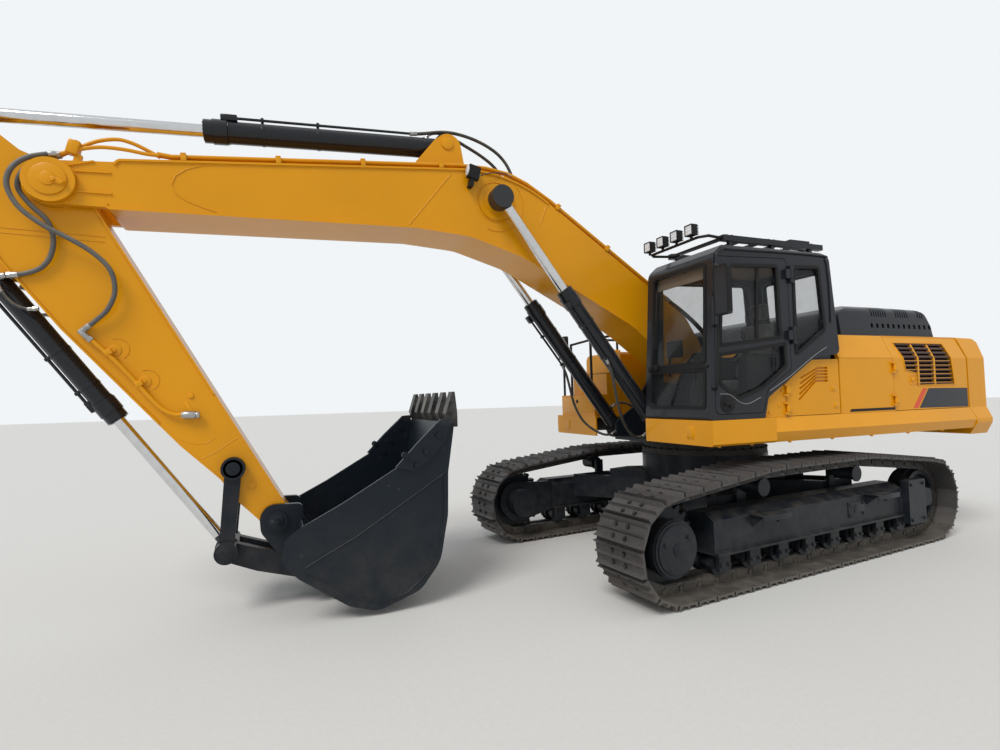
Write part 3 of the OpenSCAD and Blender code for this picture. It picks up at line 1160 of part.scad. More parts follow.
module boom_cylinder_rods() color(CHROME) whole()
    for (s = [-1, 1]) {
        rod(boom_cyl_base, boom_eye_at, boom_cyl, s * boom_cyl_y, boom_eye_hw);
        // collar between the eye and the boss on the boom
        y0 = cyl_boss_face + side_gap;
        bar_y(boom_eye_at, 90, s > 0 ? y0 : -boom_cyl_y + boom_eye_hw, s > 0 ? boom_cyl_y - boom_eye_hw : -y0, 48);
    }
module arm_cylinder_barrel() color(DARK) whole() barrel(arm_base_at, arm_eye_at, arm_cyl, 0, arm_ear_y - side_gap, cyl_pin_r);
module arm_cylinder_rod() color(CHROME) whole() rod(arm_base_at, arm_eye_at, arm_cyl, 0, 90);
module bucket_cylinder_barrel() color(DARK) whole() barrel(bucket_base_at, link_pin, bucket_cyl, 0, bucket_ear_y - side_gap, cyl_pin_r);
module bucket_cylinder_rod() color(CHROME) whole() rod(bucket_base_at, link_pin, bucket_cyl, 0, 95);

carbody();
swing_bearing();
track_frame_left();
track_frame_right();
bottom_rollers_left();
bottom_rollers_right();
carrier_rollers();
idlers();
final_drives();
track_left();
track_right();
swing_frame();
side_skirts();
cab_shell();
cab_glass();
cab_door();
door_glass();
operator_seat();
control_consoles();
roof_guard();
work_lamps();
mirrors();
handrails();
engine_block();
radiator();
left_panel();
right_panel();
hood_deck();
counterweight();
fuel_tank();
hydraulic_tank();
tool_box();
exhaust_pipe();
engine_hood();
front_side_door();
radiator_door();
pump_door();
boom();
boom_pipes();
boom_lamp();
arm();
bucket();
bucket_teeth();
rocker_links();
push_link();
boom_cylinder_barrels();
boom_cylinder_rods();
arm_cylinder_barrel();
arm_cylinder_rod();
bucket_cylinder_barrel();
bucket_cylinder_rod();
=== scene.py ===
import json
import math

import bmesh
import bpy
from mathutils import Matrix, Vector


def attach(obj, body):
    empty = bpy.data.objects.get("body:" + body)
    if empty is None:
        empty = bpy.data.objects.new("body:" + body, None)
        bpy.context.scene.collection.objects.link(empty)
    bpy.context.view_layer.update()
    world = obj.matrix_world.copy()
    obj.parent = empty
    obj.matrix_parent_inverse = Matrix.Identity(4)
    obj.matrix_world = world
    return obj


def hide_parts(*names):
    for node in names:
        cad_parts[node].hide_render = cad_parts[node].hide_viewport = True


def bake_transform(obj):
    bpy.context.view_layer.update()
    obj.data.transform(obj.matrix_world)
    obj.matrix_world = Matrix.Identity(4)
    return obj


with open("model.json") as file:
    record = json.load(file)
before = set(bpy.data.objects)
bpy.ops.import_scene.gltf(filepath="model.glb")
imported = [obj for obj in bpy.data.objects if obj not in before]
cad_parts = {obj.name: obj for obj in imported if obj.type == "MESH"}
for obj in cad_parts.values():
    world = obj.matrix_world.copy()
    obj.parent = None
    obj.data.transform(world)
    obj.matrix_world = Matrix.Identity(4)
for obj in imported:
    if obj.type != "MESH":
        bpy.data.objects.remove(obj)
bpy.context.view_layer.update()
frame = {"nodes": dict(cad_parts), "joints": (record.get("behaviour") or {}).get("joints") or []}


def added(name, data):
    """A new object in the scene."""
    made = bpy.data.objects.new(name, data)
    bpy.context.scene.collection.objects.link(made)
    return made


# Camera: it stands left of the bucket at eye height and looks along the cab side.
# Place, turn and lens were solved from the tracks, the cab and the boom in the photograph.
eye = Vector((2.9454, 5.504, 1.771))
yaw = math.radians(-112.22)
pitch = math.radians(2.37)
roll = math.radians(-1.56)
forward = Vector((math.cos(pitch) * math.cos(yaw), math.cos(pitch) * math.sin(yaw), math.sin(pitch)))
level_right = forward.cross(Vector((0, 0, 1))).normalized()
level_up = level_right.cross(forward)
right = level_right * math.cos(roll) + level_up * math.sin(roll)
up = level_up * math.cos(roll) - level_right * math.sin(roll)
camera = added("camera", bpy.data.cameras.new("camera"))
camera.data.sensor_width = 36
camera.data.lens = 20.11
camera.data.clip_end = 400
camera.matrix_world = Matrix.Translation(eye) @ Matrix((right, up, -forward)).transposed().to_4x4()
bpy.context.scene.camera = camera
bpy.context.scene.view_settings.view_transform = "Standard"


class Value:
    """One socket of a node tree. A sum or product of values adds its Math node."""

    def __init__(self, finish, socket):
        self.finish = finish
        self.socket = socket

    def maths(self, operation, *others):
        return self.finish.node("Math", {"operation": operation}, *others)

    def __add__(self, other):
        return self.maths("ADD", self, other)

    __radd__ = __add__

    def __sub__(self, other):
        return self.maths("SUBTRACT", self, other)

    def __rsub__(self, other):
        return self.maths("SUBTRACT", other, self)

    def __mul__(self, other):
        return self.maths("MULTIPLY", self, other)

    __rmul__ = __mul__

    def size(self):
        return self.maths("ABSOLUTE", self)

    def least(self, other):
        return self.maths("MINIMUM", self, other)

    def over(self, low, high):
        """0 at low, 1 at high, and straight between them."""
        return self.finish.node("MapRange", {"clamp": True}, self, low, high)

    def near(self, middle, half):
        """1 within half of the middle, and 0 elsewhere."""
        return self.finish.node("Math", {"operation": "COMPARE"}, self, middle, half)


class Finish:
    """A material or the world, whose nodes are added by one method."""

    def __init__(self, owner):
        owner.use_nodes = True
        self.owner = owner
        self.tree = owner.node_tree
        self.tree.nodes.clear()

    def feed(self, socket, value):
        if isinstance(value, Value):
            self.tree.links.new(value.socket, socket)
        elif value is not None:
            socket.default_value = (*value, 1) if socket.type == "RGBA" and len(value) == 3 else value

    def node(self, kind, settings=None, *values, out=0, **named):
        made = self.tree.nodes.new("ShaderNode" + kind)
        for key, setting in (settings or {}).items():
            setattr(made, key, setting)
        for socket, value in zip(made.inputs, values):
            self.feed(socket, value)
        for key, value in named.items():
            self.feed(made.inputs[key.replace("_", " ")], value)
        return Value(self, made.outputs[out])

    def place(self):
        return self.node("TexCoord", None, out="Object")

    def along(self, axis, vector):
        return self.node("SeparateXYZ", None, vector, out=axis)

    def noise(self, scale, detail=4.0, rough=0.55, at=None, stretch=None):
        at = at or self.place()
        if stretch:
            at = self.node("Mapping", None, at, Scale=stretch)
        return self.node("TexNoise", None, at, Scale=scale, Detail=detail, Roughness=rough)

    def mix(self, share, first, second):
        """The first colour where share is 0, the second where it is 1."""
        made = self.tree.nodes.new("ShaderNodeMix")
        made.data_type = "RGBA"
        for socket, value in zip((made.inputs[0], made.inputs[6], made.inputs[7]), (share, first, second)):
            self.feed(socket, value)
        return Value(self, made.outputs[2])

    def surface(self, colour, **named):
        return self.shown(self.node("BsdfPrincipled", None, colour, **named))

    def shown(self, shader):
        kind = "OutputWorld" if isinstance(self.owner, bpy.types.World) else "OutputMaterial"
        self.tree.links.new(shader.socket, self.tree.nodes.new("ShaderNode" + kind).inputs["Surface"])
        return self.owner


def material(name):
    return Finish(bpy.data.materials.new(name))


# Daylight: an even pale sky, a large soft sun from the camera's left, and a pale floor.
# The floor and the sky look nearly white to the camera and keep the machine's shadow.
sky_light = 0.60
sky_seen = 0.93
sky = Finish(bpy.data.worlds.new("sky"))
seen = sky.node("LightPath", None, out="Is Camera Ray")
mirrored = sky.node("LightPath", None, out="Is Glossy Ray")
through = sky.node("LightPath", None, out="Is Transmission Ray")
sky_strength = (seen + through + mirrored * 0.4).least(1.0) * (sky_seen - sky_light) + sky_light
bpy.context.scene.world = sky.shown(sky.node("Background", None, (0.95, 0.98, 1.0), sky_strength))

sun = added("sun", bpy.data.lights.new("sun", "SUN"))
sun.data.energy = 1.9
sun.data.angle = math.radians(25)
sun.data.color = (1.0, 0.97, 0.93)
sun.rotation_euler = Vector((-0.55, -0.45, -0.85)).to_track_quat("-Z", "Y").to_euler()

floor_mesh = bmesh.new()
bmesh.ops.create_grid(floor_mesh, x_segments=1, y_segments=1, size=90)
floor = added("floor", bpy.data.meshes.new("floor"))
floor_mesh.to_mesh(floor.data)
floor_mesh.free()
floor.location.z = -0.002
ground = material("pale_floor")
speckle = ground.noise(30, 6)
ground_colour = ground.mix(speckle, (0.62, 0.62, 0.61), (0.70, 0.70, 0.69))
floor.data.materials.append(ground.surface(ground_colour, Roughness=0.9))


# Undercarriage frames: welded boxes with a lower flange, folded steps on the outer edge,
# a cover over the track tensioner and bolts at the roller lugs, all under blue-black chassis paint.
dust_colour = (0.31, 0.27, 0.21)
joint_at = {joint["name"]: Vector(joint["pos_m"]) for joint in frame["joints"] if "pos_m" in joint}
machine = Matrix.Translation((joint_at["slew"].x, 0, 0))
track_gauge = 2.59
track_turn = math.radians(5.5)
undercarriage = machine @ Matrix.Rotation(track_turn, 4, "Z")
# Frame of each track, with Y pointing outwards on both
beside_track = [
    undercarriage @ Matrix.Translation((0, side * track_gauge / 2, 0)) @ Matrix.Diagonal((1, side, 1, 1))
    for side in (1, -1)
]


def painted(name, colour, rough=0.34, dust=0.3, dust_top=2.0, coat=0.25, marks=None):
    """Sprayed two-pack paint with a fine orange peel. Dust lies on what faces up, and low down."""
    f = material(name)
    at = f.place()
    broad = f.noise(0.9, 3, at=at)
    cloudy = f.noise(9, 6, 0.6, at=at)
    low = 1.0 - f.along("Z", at).over(0.1, dust_top)
    lies = f.along("Z", f.node("NewGeometry", None, out="Normal")).over(0.3, 0.95)
    dusty = (low * 0.35 + lies * 0.55 + 0.06) * cloudy.over(0.35, 0.75) * dust
    shade = f.mix(broad.over(0.3, 0.7), tuple(c * 0.94 for c in colour),
                  tuple(min(1, c * 1.05) for c in colour))
    if marks:
        shade = marks(f, at, shade)
    shade = f.mix(dusty, shade, dust_colour)
    peel = f.node("Bump", None, Strength=0.05, Distance=0.0006, Height=f.noise(420, 2, at=at))
    shine = dusty * 0.45 + rough + (cloudy - 0.5) * 0.10
    return f.surface(shade, Roughness=shine, Normal=peel,
                     Specular_IOR_Level=0.22, Coat_Weight=coat, Coat_Roughness=0.12, Coat_IOR=1.35)


def dress(coat, *nodes):
    """Gives these CAD nodes their finish."""
    for name in nodes:
        frame["nodes"][name].data.materials.clear()
        frame["nodes"][name].data.materials.append(coat)


def upright(x, y0, y1, z0, z1):
    """Corners of a rectangle that stands across the machine."""
    return [(x, y0, z0), (x, y1, z0), (x, y1, z1), (x, y0, z1)]


def round_bead(x, y, z, radius, steps, ticks):
    """Points on an arc beside the machine, at these ticks of 1 / steps radian."""
    return [(x + radius * math.cos(t / steps), y, z + radius * math.sin(t / steps)) for t in ticks]


class Work:
    """A piece in the making: shapes are given in the frame where, and land in the machine's own."""

    def __init__(self, where=Matrix()):
        self.mesh = bmesh.new()
        self.where = where

    def round_off(self, edges, offset):
        """Rounds these edges, each once and in the same order on every run."""
        bmesh.ops.bevel(self.mesh, geom=list(dict.fromkeys(edges)), offset=offset, offset_type="OFFSET",
                        segments=2, profile=0.5, affect="EDGES", clamp_overlap=True, material=-1)

    def block(self, low, high, soften=0.0):
        """A box between two corners, with its edges rounded by soften."""
        size = Vector(high) - Vector(low)
        middle = (Vector(high) + Vector(low)) / 2
        put = self.where @ Matrix.Translation(middle) @ Matrix.Diagonal((*size, 1))
        corners = bmesh.ops.create_cube(self.mesh, size=1, matrix=put)["verts"]
        if soften:
            self.round_off([e for v in corners for e in v.link_edges], soften)

    def disc(self, foot, axis, radius, thick, sides=24, soften=0.0, tip=None):
        """A round plate, bar or cone that stands on foot and is thick along axis."""
        axis = Vector(axis).normalized()
        turn = Vector((0, 0, 1)).rotation_difference(axis).to_matrix().to_4x4()
        put = self.where @ Matrix.Translation(Vector(foot) + axis * thick / 2) @ turn
        rim = bmesh.ops.create_cone(self.mesh, cap_ends=True, segments=sides, radius1=radius,
                                    radius2=radius if tip is None else tip, depth=thick, matrix=put)["verts"]
        if soften:
            edges = [e for v in rim for e in v.link_edges if any(len(g.verts) == sides for g in e.link_faces)]
            self.round_off(edges, soften)

    def bolt(self, foot, axis, size):
        """A hexagon head on its washer."""
        axis = Vector(axis).normalized()
        self.disc(foot, axis, size * 0.62, size * 0.12, 12)
        self.disc(Vector(foot) + axis * size * 0.12, axis, size * 0.5, size * 0.36, 6)

    def bolt_circle(self, middle, axis, reach, turns, size):
        """Bolts round middle, on a circle that is square to an axis along X, Y or Z."""
        x, y, z = middle
        for turn in turns:
            a, b = reach * math.cos(turn), reach * math.sin(turn)
            foot = (x, y + a, z + b) if axis[0] else (x + a, y, z + b) if axis[1] else (x + a, y + b, z)
            self.bolt(foot, axis, size)

    def sheet(self, points, corner=0.0):
        """One flat face with rounded corners, in a mesh of its own."""
        flat = bmesh.new()
        flat.faces.new([flat.verts.new(self.where @ Vector(p)) for p in points])
        if corner:
            bmesh.ops.bevel(flat, geom=flat.verts[:], offset=corner, offset_type="OFFSET", segments=4,
                            profile=0.5, affect="VERTICES", clamp_overlap=True, material=-1)
        return flat

    def thicken(self, flat, faces, thick):
        pulled = bmesh.ops.extrude_face_region(flat, geom=faces, use_keep_orig=True)["geom"]
        move = self.where.to_3x3() @ Vector(thick)
        bmesh.ops.translate(flat, vec=move, verts=[g for g in pulled if isinstance(g, bmesh.types.BMVert)])
        whole = bpy.data.meshes.new("flat")
        flat.to_mesh(whole)
        flat.free()
        self.mesh.from_mesh(whole)
        bpy.data.meshes.remove(whole)

    def plate(self, points, thick, corner=0.0):
        """A flat plate with this outline, extruded by the vector thick."""
        flat = self.sheet(points, corner)
        self.thicken(flat, flat.faces[:], thick)

    def ring(self, points, width, thick, corner=0.0):
        """A flat frame inside this outline, such as a window rubber."""
        flat = self.sheet(points, corner)
        rim = bmesh.ops.inset_region(flat, faces=flat.faces[:], thickness=width, use_even_offset=True,
                                     use_boundary=True)["faces"]
        bmesh.ops.delete(flat, geom=[g for g in flat.faces if g not in rim], context="FACES_ONLY")
        self.thicken(flat, rim, thick)

    def done(self, name, coat, body, slot=None, sharp=32):
        """Ends the piece: normals outwards, smooth but for its sharp edges, riding on a body."""
        bmesh.ops.recalc_face_normals(self.mesh, faces=self.mesh.faces)
        data = bpy.data.meshes.new(name)
        self.mesh.to_mesh(data)
        self.mesh.free()
        data.shade_smooth()
        data.set_sharp_from_angle(angle=math.radians(sharp))
        data.materials.append(coat)
        made = added(name, data)
        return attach(made, body)


def eased(points, steps=6):
    """A smooth curve through the points (Catmull-Rom)."""
    p = [Vector(q) for q in points]
    p = [p[0] * 2 - p[1]] + p + [p[-1] * 2 - p[-2]]
    path = []
    for a, b, c, d in zip(p, p[1:], p[2:], p[3:]):
        for k in range(steps):
            t = k / steps
            path.append(0.5 * (2 * b + (c - a) * t + (2 * a - 5 * b + 4 * c - d) * t**2
                               + (3 * b - a - 3 * c + d) * t**3))
    return path + [p[-2]]


def lines(name, paths, radius, coat, body, where=Matrix(), smooth=False):
    """Round beads, wires or pipes along these paths, as one curve object."""
    data = bpy.data.curves.new(name, "CURVE")
    data.dimensions = "3D"
    data.bevel_depth = radius
    data.bevel_resolution = 2
    data.use_fill_caps = True
    data.materials.append(coat)
    for path in paths:
        points = eased(path) if smooth else [Vector(q) for q in path]
        spline = data.splines.new("POLY")
        spline.points.add(len(points) - 1)
        for end, q in zip(spline.points, points):
            end.co = (*(where @ q), 1)
        spline.use_smooth = True
    made = added(name, data)
    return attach(made, body)


chassis_coat = painted("chassis_coat", (0.0085, 0.012, 0.018), 0.42, 0.24, 1.2, 0.12)
dress(chassis_coat, "carbody", "track_frame_left", "track_frame_right", "carrier_rollers", "idlers",
      "bottom_rollers_left", "bottom_rollers_right", "final_drives")
box_y = 0.19
box_top = 0.64
flange_z = 0.36
box_ends = (-1.44, 1.52)
roller_z = 0.2353
roller_xs = [-1.4 + 0.4 * i for i in range(8)]
step_xs = (-0.95, 0.85)
step_half = 0.2
step_out = 0.14
frame_fittings = Work()
for outwards in beside_track:
    frame_fittings.where = outwards
    for x in step_xs:
        frame_fittings.block((x - step_half, box_y - 0.02, box_top - 0.004),
                             (x + step_half, box_y + step_out, box_top + 0.008), 0.003)
        frame_fittings.block((x - step_half, box_y + step_out - 0.01, box_top - 0.045),
                             (x + step_half, box_y + step_out, box_top), 0.003)
        for end in (-step_half + 0.02, step_half - 0.03):
            frame_fittings.plate([(x + end, box_y, box_top), (x + end, box_y + step_out - 0.01, box_top),
                                  (x + end, box_y, box_top - 0.11)], (0.01, 0, 0))
    # tensioner cover with its grease hole
    frame_fittings.block((-0.72, box_y, 0.43), (-0.44, box_y + 0.008, 0.59), 0.003)
    frame_fittings.disc((-0.58, box_y + 0.008, 0.51), (0, 1, 0), 0.042, 0.006, 24, 0.002)
    for x, z in ((-0.695, 0.455), (-0.465, 0.455), (-0.695, 0.565), (-0.465, 0.565)):
        frame_fittings.bolt((x, box_y + 0.008, z), (0, 1, 0), 0.026)
    for x in roller_xs:
        for dx in (-0.045, 0.045):
            frame_fittings.bolt((x + dx, box_y, roller_z + 0.01), (0, 1, 0), 0.034)
            frame_fittings.bolt((x + dx, -box_y, roller_z + 0.01), (0, -1, 0), 0.034)
    # bolts of the guard over the idler
    for x in (-1.74, -1.50):
        for z in (0.29, 0.68):
            frame_fittings.bolt((x, 0.27, z), (0, 1, 0), 0.032)
frame_fittings.done("track_frame_fittings", chassis_coat, "undercarriage", "dark_paint")
for i, outwards in enumerate(beside_track):
    lines(f"track_frame_welds_{i}", [
        [(box_ends[0], box_y, flange_z + 0.002), (box_ends[1], box_y, flange_z + 0.002)],
        [(box_ends[1], box_y - 0.11, 0.70), (box_ends[1], box_y, box_top), (box_ends[1], box_y, flange_z)],
        [(box_ends[0], box_y - 0.11, 0.70), (box_ends[0], box_y, box_top), (box_ends[0], box_y, flange_z)],
    ], 0.006, chassis_coat, "undercarriage", outwards)


# Turntable bearing: a ground steel ring under a film of grease, with a row of bolts on its lower flange.
# It is bolted to the centre frame.
def worn_metal(name, bright, rust, share, rough=0.5, shine=0.6):
    """Steel that the ground polishes, with rust in its hollows and dried soil low down."""
    f = material(name)
    at = f.place()
    patches = f.noise(6, 8, 0.65, at=at).over(0.5 - share * 0.25, 0.66)
    grain = f.noise(90, 6, 0.7, at=at)
    colour = f.mix(patches, bright, rust)
    colour = f.mix(grain.over(0.4, 0.75) * 0.6, colour, tuple(c * 0.45 for c in rust))
    soil = (1.0 - f.along("Z", at).over(0.0, 0.35)) * grain.over(0.3, 0.6) * 0.4
    colour = f.mix(soil, colour, dust_colour)
    bump = f.node("Bump", None, Strength=0.35, Distance=0.002, Height=grain)
    return f.surface(colour, Metallic=(1.0 - patches) * shine, Roughness=patches * 0.25 + rough, Normal=bump)


ring_steel = worn_metal("ring_steel", (0.06, 0.055, 0.05), (0.035, 0.028, 0.022), 0.4)
dress(ring_steel, "swing_bearing")
bearing_bolts = Work(undercarriage)
bearing_bolts.bolt_circle((0, 0, 1.12), (0, 0, 1), 0.712, [2 * math.pi * i / 40 for i in range(40)], 0.036)
bearing_bolts.done("bearing_bolts", ring_steel, "undercarriage", "track_steel", 40)


# Tracks: forged links with pins and bushes, and rolled shoes with three bars, each held by four bolts.
# The shoes are grey-brown steel, brighter on the bars' edges and rusty in the hollows.
shoe_steel = worn_metal("shoe_steel", (0.115, 0.112, 0.113), (0.060, 0.052, 0.049), 0.35)
link_steel = worn_metal("link_steel", (0.045, 0.043, 0.042), (0.034, 0.030, 0.027), 0.5)
dress(shoe_steel, "track_left", "track_right")
wheel_r = 0.425
wheel_x = 2.0
wheel_z = 0.475
carrier = Vector((0.75, 1.035))
shoe_count = 49
shoe_plate = 0.02
link_depth = 0.1
to_carrier = carrier - Vector((wheel_x, wheel_z))
leave = math.atan2(to_carrier.y, to_carrier.x) - math.acos(wheel_r / to_carrier.length)
leaves_at = Vector((wheel_x + wheel_r * math.cos(leave), wheel_z + wheel_r * math.sin(leave)))
wrap = leave + math.pi / 2
spans = (wheel_x, wheel_r * wrap, (carrier - leaves_at).length, carrier.x)
loop_length = 2 * sum(spans)


def on_loop(s):
    """Point of the shoes' inner line at the length s from the middle of the bottom run."""
    if s > loop_length / 2:
        p = on_loop(loop_length - s)
        return Vector((-p.x, p.y))
    if s < spans[0]:
        return Vector((s, wheel_z - wheel_r))
    if s < spans[0] + spans[1]:
        turned = (s - spans[0]) / wheel_r
        return Vector((wheel_x + wheel_r * math.sin(turned), wheel_z - wheel_r * math.cos(turned)))
    if s < sum(spans[:3]):
        return leaves_at.lerp(carrier, (s - spans[0] - spans[1]) / spans[2])
    return Vector((carrier.x - (s - sum(spans[:3])), carrier.y))


hinge_line = [on_loop(loop_length * (i + 0.5) / shoe_count) for i in range(shoe_count)]
shoe_bolts = Work()
chain = Work()
for outwards in beside_track:
    for a, b in zip(hinge_line, hinge_line[1:] + hinge_line[:1]):
        run = (b - a).normalized()
        outside = Vector((run.y, -run.x))
        # the frame of one shoe: X along the track, Z out of it
        here = Matrix(((run.x, 0, outside.x, a.x), (0, 1, 0, 0), (run.y, 0, outside.y, a.y), (0, 0, 0, 1)))
        shoe_bolts.where = outwards @ here
        chain.where = outwards @ here
        shoe_length = (b - a).length
        for share in (0.27, 0.73):
            for y in (-0.075, 0.075):
                shoe_bolts.bolt((share * shoe_length, y, shoe_plate), (0, 0, 1), 0.034)
        chain.disc((0, -0.112, -link_depth / 2), (0, 1, 0), 0.026, 0.224, 12)
        chain.disc((0, -0.047, -link_depth / 2), (0, 1, 0), 0.034, 0.094, 12)
        for y in (-0.108, 0.1):
            chain.block((0.03, y, -link_depth + 0.006), (shoe_length - 0.035, y + 0.008, -0.012), 0.004)
shoe_bolts.done("shoe_bolts", link_steel, "undercarriage", "track_steel", 40)
chain.done("track_links", link_steel, "undercarriage", "track_steel", 40)


# Final drives: planetary hubs behind a flat round cover that is bolted all round its rim.
# They carry the same chassis paint as the frames.
drive_cover = Work()
for outwards in beside_track:
    drive_cover.where = outwards @ Matrix.Translation((wheel_x, 0, wheel_z))
    drive_cover.disc((0, 0.224, 0), (0, 1, 0), 0.205, 0.014, 48, 0.005)
    drive_cover.disc((0, 0.238, 0), (0, 1, 0), 0.05, 0.008, 24, 0.002)
    drive_cover.bolt_circle((0, 0.238, 0), (0, 1, 0), 0.15, (0.4, 2.5), 0.034)
drive_cover.done("final_drive_covers", chassis_coat, "undercarriage", "dark_paint")


# Swing frame: burnt and welded plates that carry the boom between two long cheeks.
# It wears the chassis paint, with weld beads where the cheeks stand on the base plate.
dress(chassis_coat, "swing_frame")
base_z = 1.27
cheek_y = 0.321
lines("swing_frame_welds", [
    [(-2.7, side * (cheek_y + 0.003), base_z + 0.003), (0.84, side * (cheek_y + 0.003), base_z + 0.003)]
    for side in (1, -1)
] + [
    [(x, -cheek_y, base_z + 0.003), (x, cheek_y, base_z + 0.003)] for x in (-2.515, 0.555, 0.605)
], 0.007, chassis_coat, "upper", machine)
frame_pins = Work(machine)
for side in (1, -1):
    # keeper plates of the boom foot pin and of the cylinder pins
    frame_pins.disc((0.262, side * 0.333, 2.065), (0, side, 0), 0.066, 0.01, 32, 0.003)
    frame_pins.block((0.30, side * 0.345 - 0.008, 2.035), (0.40, side * 0.345 + 0.008, 2.095), 0.003)
    frame_pins.bolt((0.375, side * 0.353, 2.065), (0, side, 0), 0.03)
    frame_pins.disc((0.97, side * 0.489, 1.36), (0, side, 0), 0.058, 0.008, 32, 0.003)
    frame_pins.bolt_circle((0.97, side * 0.497, 1.36), (0, side, 0), 0.036, (0.6, 2.7, 4.8), 0.018)
frame_pins.done("swing_frame_pins", chassis_coat, "upper", "dark_paint")


# Side frames and deck: folded steel under golden yellow paint, bolted to beams of the swing frame.
# A black strip above them under the housing is painted shade of a slot there, and grip plates with raised
# dots lie on the deck.
yellow = (0.73, 0.31, 0.002)
yellow_coat = painted("yellow_coat", yellow, 0.30, 0.09, 1.7, 0.30)
dress(yellow_coat, "side_skirts")
skirt_trim = Work(machine)
for side in (1, -1):
    for x in (-2.2, -1.6, -1.0, -0.4, 0.2, 0.7, 1.1):
        skirt_trim.bolt((x, side * 1.44, base_z), (0, 0, -1), 0.03)
    # lashing eyes under the corners
    skirt_trim.block((1.196, side * 1.2 - 0.05, 1.33), (1.221, side * 1.2 + 0.05, 1.45), 0.006)
skirt_trim.done("skirt_bolts", yellow_coat, "upper", "yellow_paint")
black_plastic = painted("black_plastic", (0.011, 0.011, 0.012), 0.55, 0.2, 1.8, 0.0)
grip = Work(machine)
grip.block((1.0, -1.38, 1.511), (1.19, -0.6, 1.517), 0.003)
for i in range(3):
    for k in range(13):
        grip.disc((1.035 + i * 0.06, -1.34 + k * 0.058, 1.517), (0, 0, 1), 0.014, 0.006, 8, 0, 0.009)
grip.block((0.80, -1.38, 2.051), (0.99, -0.58, 2.056), 0.002)
for k in range(13):
    for x in (0.84, 0.90, 0.96):
        grip.disc((x, -1.34 + k * 0.058, 2.056), (0, 0, 1), 0.014, 0.006, 8, 0, 0.009)
grip.done("grip_plates", black_plastic, "upper", "dark_plastic")
# black strips along both sides under the housing: painted shade of the slot
slot = Work(machine)
for side in (1, -1):
    slot.plate([(-0.705, side * 1.4262, 1.527), (-1.425, side * 1.4262, 1.527),
                (-1.425, side * 1.4262, 1.554), (-0.725, side * 1.4262, 1.554)], (0, side * 0.003, 0))
slot.done("skirt_slot_shade", black_plastic, "upper", "dark_plastic")


# Cab: a welded shell of rolled posts in satin charcoal paint. Tinted panes sit in black rubber,
# and a drip rail is spot-welded over the door.
cab_coat = painted("cab_coat", (0.013, 0.015, 0.020), 0.34, 0.10, 2.2, 0.40)
dress(cab_coat, "cab_shell", "cab_door")
rubber = painted("rubber", (0.011, 0.011, 0.012), 0.62, 0.12, 1.5, 0.0)


def tinted(name, tint, cover):
    """Float glass with a grey-green tint. It mirrors the sky at a glancing look, and holds a film of dust."""
    f = material(name)
    film = f.noise(2.2, 5, 0.6).over(0.42, 0.75)
    colour = f.mix(film * 0.25, tint, (0.25, 0.24, 0.22))
    return f.surface(colour, Roughness=film * 0.05 + 0.02, Alpha=film * 0.05 + cover, Specular_IOR_Level=0.9)


pane_glass = tinted("pane_glass", (0.018, 0.026, 0.030), 0.16)
dress(pane_glass, "cab_glass", "door_glass")
side_y = 1.48
inner_y = 0.515
rake = math.atan2(0.104, 1.55)
rear_rake = math.atan2(0.094, 1.057)
cab_front = machine @ Matrix.Translation((1.222, 0, 1.51)) @ Matrix.Rotation(-rake, 4, "Y")
cab_rear = machine @ Matrix.Translation((-0.524, 0, 2.138)) @ Matrix.Rotation(rear_rake, 4, "Y")


def facing(rows, y):
    """Points (x, z) on a plane that faces sideways, such as a side wall, at y."""
    return [(x, y, z) for x, z in rows]


def across(rows, foot, tilt):
    """Corners (y, z) of an opening in the front or the rear wall, as points in that wall's own frame."""
    return [(0, y, (z - foot) / math.cos(tilt)) for y, z in rows]


quarter = [(0.117, 2.098), (0.108, 3.022), (-0.282, 3.042), (-0.337, 2.373)]
right_side = [(1.022, 1.738), (0.972, 2.992), (-0.272, 3.032), (-0.322, 2.318), (0.244, 1.948)]
front_top = [(0.593, 2.033), (1.412, 2.033), (1.397, 3.012), (0.603, 3.012)]
front_low = [(0.583, 1.613), (1.417, 1.613), (1.412, 2.002), (0.593, 2.002)]
rear = [(0.613, 2.318), (1.382, 2.318), (1.372, 3.022), (0.623, 3.022)]
seals = Work(machine)
seals.ring(facing(quarter, side_y - 0.001), 0.034, (0, 0.008, 0), 0.05)
seals.ring(facing(right_side, inner_y + 0.001), 0.034, (0, -0.008, 0), 0.06)
seals.where = cab_front
seals.ring(across(front_top, 1.51, rake), 0.032, (0.008, 0, 0), 0.05)
seals.ring(across(front_low, 1.51, rake), 0.032, (0.008, 0, 0), 0.04)
seals.where = cab_rear
seals.ring(across(rear, 2.138, rear_rake), 0.034, (-0.008, 0, 0), 0.06)
seals.done("window_rubbers", rubber, "upper", "dark_plastic")

door_top = [(1.095, 2.187), (1.023, 2.982), (0.300, 3.017), (0.284, 2.277)]
door_low = [(1.100, 2.133), (0.232, 2.252), (0.232, 1.998), (0.555, 1.789), (0.885, 1.687), (1.107, 1.84)]
door_rubbers = Work(machine)
door_rubbers.ring(facing(door_top, side_y - 0.001), 0.034, (0, 0.007, 0), 0.04)
door_rubbers.ring(facing(door_low, side_y - 0.001), 0.034, (0, 0.007, 0), 0.03)
# post of the sliding pane, seen through the upper glass
door_rubbers.plate(facing([(0.585, 2.23), (0.618, 2.228), (0.566, 3.0), (0.533, 3.0)], side_y - 0.022),
                   (0, 0.012, 0))
door_rubbers.done("door_rubbers", rubber, "cab_door", "dark_plastic")
